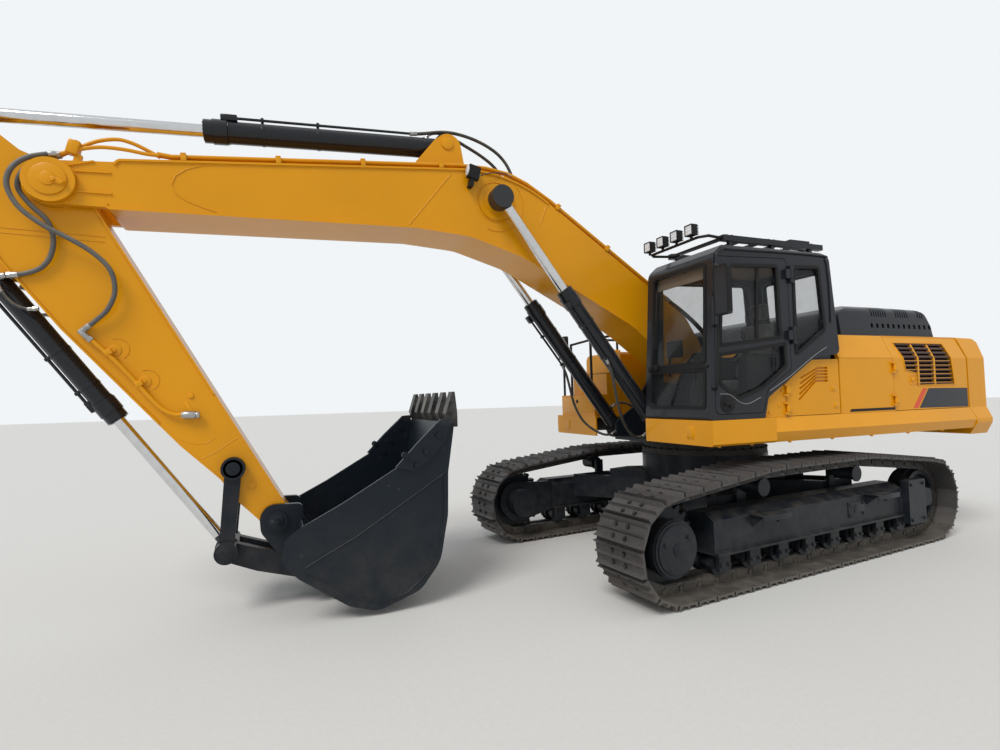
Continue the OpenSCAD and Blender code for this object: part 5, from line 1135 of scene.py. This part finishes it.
for side in (1, -1):
    fork_pin.disc((fork_x, side * 0.144, fork_z), (0, side, 0), 0.064, 0.014, 32, 0.004)
    fork_pin.disc((rod_pin_x, side * 0.292, rod_pin_z), (0, side, 0), 0.125, 0.006, 40, 0.002)
fork_pin.done("boom_pin_plates", yellow_coat, "boom", "yellow_paint")
lamp_glass = Work(boom_at)
lamp_glass.disc((3.232, 0.35, 1.267), (1, 0, -0.15), 0.052, 0.010, 32, 0.004)
lamp_glass.disc((3.240, 0.35, 1.266), (1, 0, -0.15), 0.044, 0.005, 32, 0.002)
lamp_glass.done("boom_lamp_lens", clear_lens, "boom", "window_glass")


# Arm: the same welded box, with rigid pipes for the bucket's tool line along its left and right webs.
# The pipes end in plated quick couplers.
dress(yellow_coat, "arm")
arm_web_y = 0.20
clamp_places = ((1.325, 0.300), (1.648, 0.247))
arm_corners = rounded([(-0.06, -0.165, 0.08), (3.13, -0.127, 0.06), (3.198, -0.122, 0), (3.198, 0.116, 0),
                       (3.105, 0.122, 0.02), (2.9, 0.172, 0.02), (2.65, 0.19, 0.06), (2.237, 0.299, 0),
                       (1.009, 0.526, 0.3), (0.38, 0.6, 0.2), (-0.3, 0.59, 0.2), (-0.885, 0.516, 0),
                       (-0.917, 0.25, 0), (-0.48, 0.119, 0.04), (-0.33, 0.065, 0.04),
                       (-0.15, -0.072, 0.06)])
arm_chains = [chain_of(arm_corners[0:1]) + [Vector((2.0, -0.1405))],
              [Vector((2.0, 0.3428))] + chain_of(arm_corners[8:12])]
# the flange plates are ground back where the rocker links swing past them
slim_chains = [[Vector((2.0, -0.1405)), Vector((3.06, -0.1278))],
               [Vector((2.80, 0.1835))] + chain_of(arm_corners[6:8]) + [Vector((2.0, 0.3428))]]
arm_work = Work(arm_at)
flanges(arm_work, arm_chains, arm_web_y, 0.012, 0.015)
flanges(arm_work, slim_chains, arm_web_y, 0.003, 0.015)
zinc = worn_metal("zinc", (0.50, 0.50, 0.49), (0.30, 0.28, 0.25), 0.1, 0.3, 0.9)
couplers = Work(arm_at)
tool_line = [(1.175, 0.392), (1.278, 0.365), (1.423, 0.332), (1.60, 0.302), (1.78, 0.278), (1.911, 0.251),
             (1.99, 0.205), (2.03, 0.15)]
arm_pipes = []
for side in (1, -1):
    for x, z in clamp_places:
        arm_work.disc((x, side * 0.199, z), (0, side, 0), 0.048, 0.008, 28, 0.003)
        arm_work.block((x - 0.024, side * 0.228 - 0.03, z + 0.012),
                       (x + 0.024, side * 0.228 + 0.03, z + 0.066), 0.006)
        arm_work.bolt((x, side * 0.206, z), (0, side, 0), 0.03)
    arm_work.disc((1.922, side * 0.199, 0.023), (0, side, 0), 0.022, 0.012, 20, 0.003)
    arm_work.disc((2.827, side * 0.199, 0.013), (0, side, 0), 0.034, 0.010, 24, 0.003)
    arm_work.disc((2.827, side * 0.209, 0.013), (0, side, 0), 0.016, 0.006, 12, 0.002)
    arm_work.disc((-0.868, side * 0.219, 0.378), (0, side, 0), 0.07, 0.010, 32, 0.003)
    arm_work.block((1.95, side * 0.198, 0.07), (2.14, side * 0.205, 0.10), 0.003)
    arm_pipes.append(facing(tool_line, side * 0.238))
    run = Vector((0.085, 0, -0.135)).normalized()
    couplers.disc((2.025, side * 0.238, 0.158), run, 0.026, 0.02, 6)
    couplers.disc(Vector((2.025, side * 0.238, 0.158)) + run * 0.02, run, 0.033, 0.085, 28, 0.004)
    couplers.disc(Vector((2.025, side * 0.238, 0.158)) + run * 0.105, run, 0.028, 0.03, 28, 0.004)
    # elbow where the hose from the boom joins the pipe
    couplers.disc((1.165, side * 0.238, 0.398), (1, 0, -0.34), 0.025, 0.028, 6)
    couplers.disc((1.08, side * 0.232, 0.422), (1, 0, -0.28), 0.021, 0.09, 20, 0.004)
    couplers.disc((0.495, side * 0.228, 0.615), (-0.25, 0, 0.9), 0.022, 0.045, 20, 0.004)
    couplers.disc((0.484, side * 0.248, 0.655), (0, -side, 0), 0.021, 0.060, 20, 0.004)
    couplers.disc((0.785, side * 0.158, 0.59), (-0.45, 0, 0.9), 0.020, 0.022, 6)
arm_work.done("arm_flanges", yellow_coat, "arm", "yellow_paint", 40)
couplers.done("arm_couplers", zinc, "arm", "chrome_rod", 40)
lines("arm_pipes", arm_pipes, 0.017, yellow_coat, "arm", arm_at, smooth=True)
arm_welds = seams(arm_chains, arm_web_y, 0.019)
for side in (1, -1):
    arm_welds += [
        [(0.125, side * (arm_web_y + 0.001), 0.51), (0.502, side * (arm_web_y + 0.001), -0.10)],
        [(0.165, side * (arm_web_y + 0.001), 0.52), (0.538, side * (arm_web_y + 0.001), -0.08)],
        [(x, side * (arm_web_y - 0.001), z) for x, z in
         ((2.193, 0.275), (2.25, 0.235), (2.303, 0.183), (2.33, 0.11), (2.32, 0.046))],
        [(x, side * (arm_web_y - 0.001), z) for x, z in ((2.42, 0.22), (2.43, 0.10), (2.415, -0.10))],
        round_bead(0, side * (arm_web_y + 0.003), 0, 0.187, 4, range(26)),
    ]
    for x, z in clamp_places:
        arm_welds.append([(x + 0.085 * math.cos(t / 5), side * (arm_web_y + 0.001),
                           z - 0.02 - 0.085 * math.sin(t / 5)) for t in range(16)])
lines("arm_welds", arm_welds, 0.004, yellow_coat, "arm", arm_at)


# Bucket: side plates and a rolled shell of wear steel under charcoal paint, which earth has begun to scour
# off the lip. Cutters are bolted to the side plates, and each tooth is pinned to its adapter.
def scoured(name, paint, steel, reach):
    """Paint that is worn to bright steel within reach of the cutting edge, and scratched elsewhere."""
    f = material(name)
    at = f.place()
    flat = f.node("VectorMath", {"operation": "MULTIPLY"}, at, (1, 0, 1))
    lip = (bucket_pin.x - 1.45, 0, bucket_pin.z + 1.05)
    edge = f.node("VectorMath", {"operation": "DISTANCE"}, flat, lip, out=1)
    cloud = f.noise(5, 7, 0.65, at=at)
    scratch = f.noise(26, 5, 0.6, at=at, stretch=(0.5, 4, 0.5))
    worn = (1.0 - edge.over(reach * 0.4, reach)) * cloud.over(0.42, 0.6)
    worn = worn + scratch.over(0.66, 0.70) * 0.35
    dusty = (1.0 - f.along("Z", at).over(0.0, 1.0)) * cloud.over(0.3, 0.75) * 0.12
    shade = f.mix(worn.least(1.0), f.mix(dusty, paint, dust_colour), steel)
    bump = f.node("Bump", None, Strength=0.12, Distance=0.001, Height=cloud)
    return f.surface(shade, Metallic=worn.least(1.0) * 0.7, Normal=bump,
                     Roughness=dusty * 0.4 + 0.36, Specular_IOR_Level=0.22, Coat_Weight=0.12,
                     Coat_Roughness=0.2, Coat_IOR=1.35)


bucket_pin = joint_at["bucket_curl"]
bucket_at = Matrix.Translation(bucket_pin)
bucket_coat = scoured("bucket_coat", (0.007, 0.012, 0.019), (0.11, 0.10, 0.095), 0.30)
tooth_steel = scoured("tooth_steel", (0.016, 0.017, 0.018), (0.11, 0.10, 0.09), 0.30)
dress(bucket_coat, "bucket")
dress(tooth_steel, "bucket_teeth")
dress(chassis_coat, "rocker_links", "push_link")
bucket_bits = Work(bucket_at)
for side in (1, -1):
    for x, z in ((-1.016, 0.537), (-1.19, 0.565), (-1.105, 0.455), (-1.30, 0.70)):
        bucket_bits.bolt((x, side * 0.792, z), (0, side, 0), 0.05)
        bucket_bits.disc((x, side * 0.73, z), (0, -side, 0), 0.026, 0.016, 6)
    # keeper bolts of the two pins on the ears
    for x, z, reach in ((0, 0, 0.29), (-0.270, -0.457, 0.262)):
        bucket_bits.disc((x, side * (reach - 0.002), z), (0, side, 0), 0.062, 0.012, 36, 0.004)
        bucket_bits.bolt((x, side * (reach + 0.010), z), (0, side, 0), 0.034)
bucket_bits.done("bucket_bolts", bucket_coat, "bucket", "dark_paint", 40)
top_seam = [(-0.198, -0.30), (-0.60, -0.10), (-1.0, 0.14), (-1.372, 0.37)]
shell_seam = [(-0.20, -0.345), (-0.374, -0.44), (-0.543, -0.575), (-0.783, -0.66), (-1.018, -0.61),
              (-1.19, -0.47), (-1.29, -0.28), (-1.335, 0.0), (-1.345, 0.36)]
ear_seam = [(-0.215, 0.0), (-0.33, -0.18), (-0.57, -0.485)]
bucket_seams = []
for side in (1, -1):
    bucket_seams += [facing(top_seam, side * 0.761), facing(shell_seam, side * 0.761),
                     facing(ear_seam, side * 0.262)]
lines("bucket_welds", bucket_seams, 0.007, bucket_coat, "bucket", bucket_at)


# Bucket gear: two rocker plates and a forked link of cast steel, with pins held by bolted caps.
rocker_caps = Work()
for side in (1, -1):
    for where, x, z in ((arm_at, 2.620, 0.058), (bucket_at, 0.397, -0.226)):
        rocker_caps.where = where
        rocker_caps.disc((x, side * 0.289, z), (0, side, 0), 0.078, 0.006, 40, 0.002)
        rocker_caps.disc((x, side * 0.294, z), (0, side, 0), 0.056, 0.010, 36, 0.003)
        rocker_caps.bolt_circle((x, side * 0.303, z), (0, side, 0), 0.034, thirds, 0.018)
rocker_caps.done("rocker_caps", chassis_coat, "rocker", "dark_paint")


# Cylinders: honed barrels in black paint with a bolted gland, and rods of ground hard chrome.
# The rod eyes are painted black, and steel lines run along the barrels to the ports.
def chromed(name, eye_point, reach):
    """Hard chrome with fine rings from the grinding wheel. The forged eye within reach is painted black."""
    f = material(name)
    at = f.place()
    flat = f.node("VectorMath", {"operation": "MULTIPLY"}, at, (1, 0, 1))
    away = f.node("VectorMath", {"operation": "DISTANCE"}, flat, (eye_point.x, 0, eye_point.z), out=1)
    steel = away.over(reach, reach + 0.004)
    film = f.noise(14, 6, 0.6, at=at).over(0.4, 0.8)
    shade = f.mix(steel, (0.018, 0.020, 0.024), f.mix(film * 0.5, (0.74, 0.75, 0.76), (0.52, 0.52, 0.51)))
    rough = film * 0.10 + (1.0 - steel) * 0.25 + 0.11
    return f.surface(shade, Metallic=steel, Roughness=rough)


def spot(where, x, z):
    return where @ Vector((x, 0, z))


barrel_coat = painted("barrel_coat", (0.009, 0.011, 0.015), 0.24, 0.12, 1.6, 0.6)
dress(barrel_coat, "boom_cylinder_barrels", "arm_cylinder_barrel", "bucket_cylinder_barrel")
rod_pin = spot(boom_at, rod_pin_x, rod_pin_z)
arm_eye = spot(arm_at, -0.868, 0.378)
link_pin = bucket_pin + Vector((0.397, 0, -0.226))
dress(chromed("boom_rod_chrome", rod_pin, 0.125), "boom_cylinder_rods")
dress(chromed("arm_rod_chrome", arm_eye, 0.145), "arm_cylinder_rod")
dress(chromed("bucket_rod_chrome", link_pin, 0.13), "bucket_cylinder_rod")
boom_base = spot(machine, 0.97, 1.36)
boom_cylinder_y = 0.412
arm_base = spot(boom_at, fork_x, fork_z)
bucket_base = spot(arm_at, 0.248, 0.745)


def along_cylinder(foot, tip, y=0.0):
    """Frame of a cylinder: X from its base pin to its eye, Y to the left, Z square to both."""
    run = (tip - foot).normalized()
    return Matrix(((run.x, 0, -run.z, foot.x), (0, 1, 0, foot.y + y), (run.z, 0, run.x, foot.z),
                   (0, 0, 0, 1)))


left_ram, right_ram = (along_cylinder(boom_base, rod_pin, y) for y in (boom_cylinder_y, -boom_cylinder_y))
cylinders = [
    ("boom_cylinder_left", left_ram, 1.90, 0.085, "boom_barrels"),
    ("boom_cylinder_right", right_ram, 1.90, 0.085, "boom_barrels"),
    ("arm_cylinder", along_cylinder(arm_base, arm_eye), 2.222, 0.098, "arm_barrel"),
    ("bucket_cylinder", along_cylinder(bucket_base, link_pin), 1.562, 0.080, "bucket_barrel"),
]
for name, where, length, radius, body in cylinders:
    fittings = Work(where)
    # wiper ring, gland bolts, weld rings and the two port blocks
    fittings.disc((length - 0.004, 0, 0), (1, 0, 0), radius - 0.012, 0.012, 40, 0.004)
    eighths = [i * math.pi / 4 + 0.2 for i in range(8)]
    fittings.bolt_circle((length - 0.07, 0, 0), (1, 0, 0), radius - 0.006, eighths, 0.020)
    fittings.disc((0.20, 0, 0), (1, 0, 0), radius + 0.007, 0.02, 40, 0.006)
    fittings.disc((length - 0.21, 0, 0), (1, 0, 0), radius + 0.006, 0.02, 40, 0.006)
    if name.startswith("boom"):
        side = 1 if where.translation.y > 0 else -1
        fittings.block((1.70, side * 0.062 - 0.032, -0.125), (1.79, side * 0.062 + 0.032, -0.065), 0.008)
        fittings.disc((0.25, 0, 0.07), (0, 0, 1), 0.030, 0.028, 24, 0.004)
        tube = [(1.745, 0.062, -0.10), (1.70, 0.070, -0.088), (1.30, 0.072, -0.084), (1.05, 0.072, -0.084)]
        tube = [(x, side * y, z) for x, y, z in tube]
    elif name.startswith("arm"):
        fittings.block((1.94, -0.02, 0.085), (2.08, 0.075, 0.142), 0.010)
        fittings.disc((0.17, -0.045, 0.06), (0, 0, 1), 0.028, 0.05, 24, 0.004)
        tube = [(1.95, 0.035, 0.122), (1.86, 0.035, 0.122), (1.0, 0.035, 0.122), (0.33, 0.035, 0.121)]
    else:
        fittings.block((1.31, -0.03, 0.065), (1.41, 0.03, 0.115), 0.008)
        for y in (0.07, -0.07):
            fittings.disc((0.25, y, 0), (0, y, 0), 0.024, 0.040, 20, 0.004)
        tube = [(1.32, 0, 0.10), (1.24, 0, 0.10), (0.7, 0, 0.10), (0.36, 0.01, 0.098), (0.28, 0.05, 0.085),
                (0.25, 0.075, 0.055), (0.25, 0.085, 0.02)]
    # bands that hold the steel line to the barrel
    for share in (0.56, 0.78):
        x = length * share
        fittings.disc((x - 0.014, 0, 0), (1, 0, 0), radius + 0.004, 0.028, 48, 0.001)
        k = next(i for i, p in enumerate(tube) if p[0] <= x)
        here = Vector(tube[k - 1]).lerp(Vector(tube[k]), (tube[k - 1][0] - x) / (tube[k - 1][0] - tube[k][0]))
        fittings.block((x - 0.014, here.y - 0.020, here.z - 0.020),
                       (x + 0.014, here.y + 0.020, here.z + 0.020), 0.006)
    fittings.done(f"{name}_fittings", barrel_coat, body, "dark_paint", 40)
    lines(f"{name}_steel_line", [tube], 0.013, barrel_coat, body, where, smooth=True)


# Hoses: steel-braided rubber, crimped into plated ends. They are made as mesh tubes, and most of them run
# between two bodies; a control valve on the swing frame feeds those at the boom foot.
def hose_skin(name, colour):
    """Rubber with a wound spiral, dulled by dust on its upper side."""
    f = material(name)
    at = f.place()
    cloud = f.noise(12, 6, 0.6, at=at)
    lies = f.along("Z", f.node("NewGeometry", None, out="Normal")).over(-0.2, 0.9)
    shade = f.mix(cloud.over(0.3, 0.7) * (lies * 0.6 + 0.15), colour, dust_colour)
    bump = f.node("Bump", None, Strength=0.3, Distance=0.0008, Height=f.noise(230, 2, at=at))
    return f.surface(shade, Roughness=cloud * 0.2 + 0.42, Normal=bump)


hose_rubber = hose_skin("hose_rubber", (0.016, 0.016, 0.017))
guarded_hose = hose_skin("guarded_hose", (0.085, 0.086, 0.085))
hose_ends = {}
hose_frames = {"boom": boom_at, "arm": arm_at, "upper": machine}


def in_frame(where, side, points):
    return [where @ Vector((x, side * y, z)) for x, y, z in points]


def hose(name, path, thick, coat, first, last, leaves=None):
    """A hose along this smooth path, from a fitting on the body first to one on the body last.
    leaves is the point under its first fitting where it comes out of the machine; it is not used."""
    fine, path = eased(path, 6), eased(path, 2)
    side = 1 if path[0].y > 0 else -1
    leaves = path[0] if leaves is None else in_frame(hose_frames[first], side, [leaves])[0]
    data = bpy.data.curves.new(name, "CURVE")
    data.dimensions = "3D"
    data.bevel_depth = thick / 2
    data.bevel_resolution = 3
    spline = data.splines.new("POLY")
    spline.points.add(len(fine) - 1)
    for end, point in zip(spline.points, fine):
        end.co = (*point, 1)
    holder = added(name, data)
    skin = bpy.data.meshes.new_from_object(holder)
    bpy.data.objects.remove(holder)
    bpy.data.curves.remove(data)
    skin.name = name
    skin.materials.clear()
    skin.materials.append(coat)
    skin.shade_smooth()
    made = added(name, skin)
    if first == last:
        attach(made, first)
    else:
        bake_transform(made)
    length = round(sum((b - a).length for a, b in zip(path, path[1:])), 3)
    for body, tip, beyond in ((first, path[0], path[1]), (last, path[-1], path[-2])):
        ends = hose_ends.setdefault(body, Work())
        run = (beyond - tip).normalized()
        ends.disc(tip - run * 0.010, run, thick * 0.62, 0.022, 6)
        ends.disc(tip + run * 0.012, run, thick * 0.60, 0.050, 20, 0.002)


# routes of the hoses that come in pairs, given for the left side
outer_at_nose = [(6.425, 0.270, 0.230), (6.51, 0.286, 0.185), (6.60, 0.314, 0.105), (6.652, 0.330, -0.010),
                 (6.640, 0.330, -0.140)]
outer_at_arm = [(0.113, 0.325, 0.271), (0.296, 0.315, 0.204), (0.442, 0.305, 0.113), (0.609, 0.297, 0.028),
                (0.775, 0.288, -0.005), (0.930, 0.276, 0.051), (1.030, 0.262, 0.165), (1.068, 0.246, 0.285),
                (1.090, 0.228, 0.395)]
inner_at_nose = [(6.425, 0.230, 0.232), (6.505, 0.238, 0.175), (6.575, 0.252, 0.090), (6.612, 0.265, -0.010),
                 (6.595, 0.272, -0.120)]
inner_at_arm = [(0.105, 0.270, 0.205), (0.250, 0.262, 0.172), (0.385, 0.250, 0.207), (0.490, 0.240, 0.290),
                (0.540, 0.232, 0.380), (0.543, 0.228, 0.465), (0.525, 0.225, 0.540), (0.500, 0.221, 0.600)]
to_bucket_cylinder = [(0.785, 0.158, 0.585), (0.755, 0.156, 0.645), (0.70, 0.148, 0.690),
                      (0.63, 0.135, 0.712), (0.56, 0.118, 0.721), (0.50, 0.106, 0.724)]
under_barrel = [(0.035, -0.109, -0.10), (0.045, -0.109, -0.16), (0.10, -0.090, -0.235), (0.22, -0.040, -0.29),
                (0.36, 0.010, -0.31), (0.50, 0.040, -0.288), (0.63, 0.058, -0.245), (0.75, 0.066, -0.190),
                (0.87, 0.071, -0.135), (0.97, 0.073, -0.100), (1.06, 0.072, -0.084)]
over_barrel_foot = [(-0.16, -0.068, 0.33), (-0.08, -0.062, 0.345), (0.03, -0.048, 0.34),
                    (0.14, -0.028, 0.305), (0.215, -0.012, 0.24), (0.245, -0.003, 0.165),
                    (0.25, 0.0, 0.098)]
over_foot = [(-0.20, 1.98), (-0.12, 2.15), (-0.01, 2.32), (0.13, 2.48), (0.29, 2.62), (0.45, 2.735),
             (0.60, 2.828), (0.685, 2.884)]
for side, hand, ram in ((1, "left", left_ram), (-1, "right", right_ram)):
    hose(f"nose_hose_outer_{hand}",
         in_frame(boom_at, side, outer_at_nose) + in_frame(arm_at, side, outer_at_arm),
         0.038, guarded_hose, "boom", "arm", leaves=(6.418, 0.268, 0.204))
    hose(f"nose_hose_inner_{hand}",
         in_frame(boom_at, side, inner_at_nose) + in_frame(arm_at, side, inner_at_arm),
         0.038, guarded_hose, "boom", "arm", leaves=(6.418, 0.230, 0.206))
    hose(f"bucket_cylinder_hose_{hand}", in_frame(arm_at, side, to_bucket_cylinder),
         0.026, hose_rubber, "arm", "bucket_barrel", leaves=(0.790, 0.158, 0.560))
    hose(f"boom_cylinder_front_hose_{hand}", in_frame(ram, side, under_barrel),
         0.030, hose_rubber, "upper", "boom_barrels")
    hose(f"boom_cylinder_rear_hose_{hand}", in_frame(ram, side, over_barrel_foot),
         0.030, hose_rubber, "upper", "boom_barrels")
    for x, y, place in ((-0.31, 0.230, "inner"), (-0.26, 0.266, "outer")):
        route = facing([(x, 1.61), (x + 0.004, 1.70), (x + 0.025, 1.83)] + over_foot, y)
        hose(f"boom_foot_hose_{place}_{hand}", in_frame(machine, side, route),
             0.032, hose_rubber, "upper", "boom", leaves=(x, y + 0.028 * (y < 0.25), 1.61))
to_gland = [(2.64, 0.045, 1.415), (2.652, 0.045, 1.50), (2.70, 0.045, 1.58), (2.78, 0.045, 1.66),
            (2.89, 0.045, 1.722), (3.03, 0.045, 1.758), (3.18, 0.045, 1.770), (3.32, 0.045, 1.762),
            (3.44, 0.045, 1.738), (3.538, 0.044, 1.702), (3.627, 0.042, 1.659), (3.718, 0.038, 1.616),
            (3.812, 0.035, 1.578)]
to_barrel_foot = [(2.74, 1.415), (2.755, 1.50), (2.81, 1.575), (2.91, 1.635), (3.05, 1.680), (3.20, 1.712),
                  (3.35, 1.738), (3.47, 1.748), (3.56, 1.728), (3.62, 1.685), (3.645, 1.625)]
to_boom_lamp = [(3.13, 0.322, 1.225), (3.09, 0.322, 1.27), (3.02, 0.320, 1.325), (2.94, 0.312, 1.365),
                (2.87, 0.300, 1.395), (2.80, 0.285, 1.412), (2.74, 0.270, 1.415)]
hose("arm_cylinder_hose_upper", in_frame(boom_at, 1, to_gland),
     0.034, hose_rubber, "boom", "arm_barrel", leaves=(2.645, 0.045, 1.387))
hose("arm_cylinder_hose_lower", in_frame(boom_at, 1, facing(to_barrel_foot, -0.045)),
     0.034, hose_rubber, "boom", "arm_barrel", leaves=(2.745, 0.045, 1.387))
hose("boom_lamp_cable", in_frame(boom_at, 1, to_boom_lamp),
     0.010, hose_rubber, "boom", "boom")
valve = Work(machine)
valve.block((-0.50, -0.27, 1.272), (-0.20, 0.27, 1.56), 0.012)
for x, y in ((-0.31, 0.230), (-0.26, 0.266), (-0.31, -0.230), (-0.26, -0.266)):
    valve.disc((x, y, 1.555), (0, 0, 1), 0.018, 0.055, 20, 0.003)
for i in range(7):
    valve.disc((-0.20, -0.21 + 0.07 * i, 1.42), (1, 0, 0), 0.026, 0.05, 20, 0.006)
for side in (1, -1):
    valve.block((0.595, side * 0.318, 1.40), (0.665, side * 0.352, 1.47), 0.006)
valve.done("control_valve", barrel_coat, "upper", "dark_paint")
port_block = Work(boom_at)
port_block.block((2.59, -0.10, 1.33), (2.79, 0.10, 1.42), 0.010)
for side in (1, -1):
    port_block.disc((2.69, side * 0.10, 1.385), (0, side, 0), 0.016, 0.15, 16)
port_block.done("boom_port_block", yellow_coat, "boom", "yellow_paint")
for body, ends in hose_ends.items():
    ends.done(f"hose_ends_{body}", zinc, body, "chrome_rod", 40)
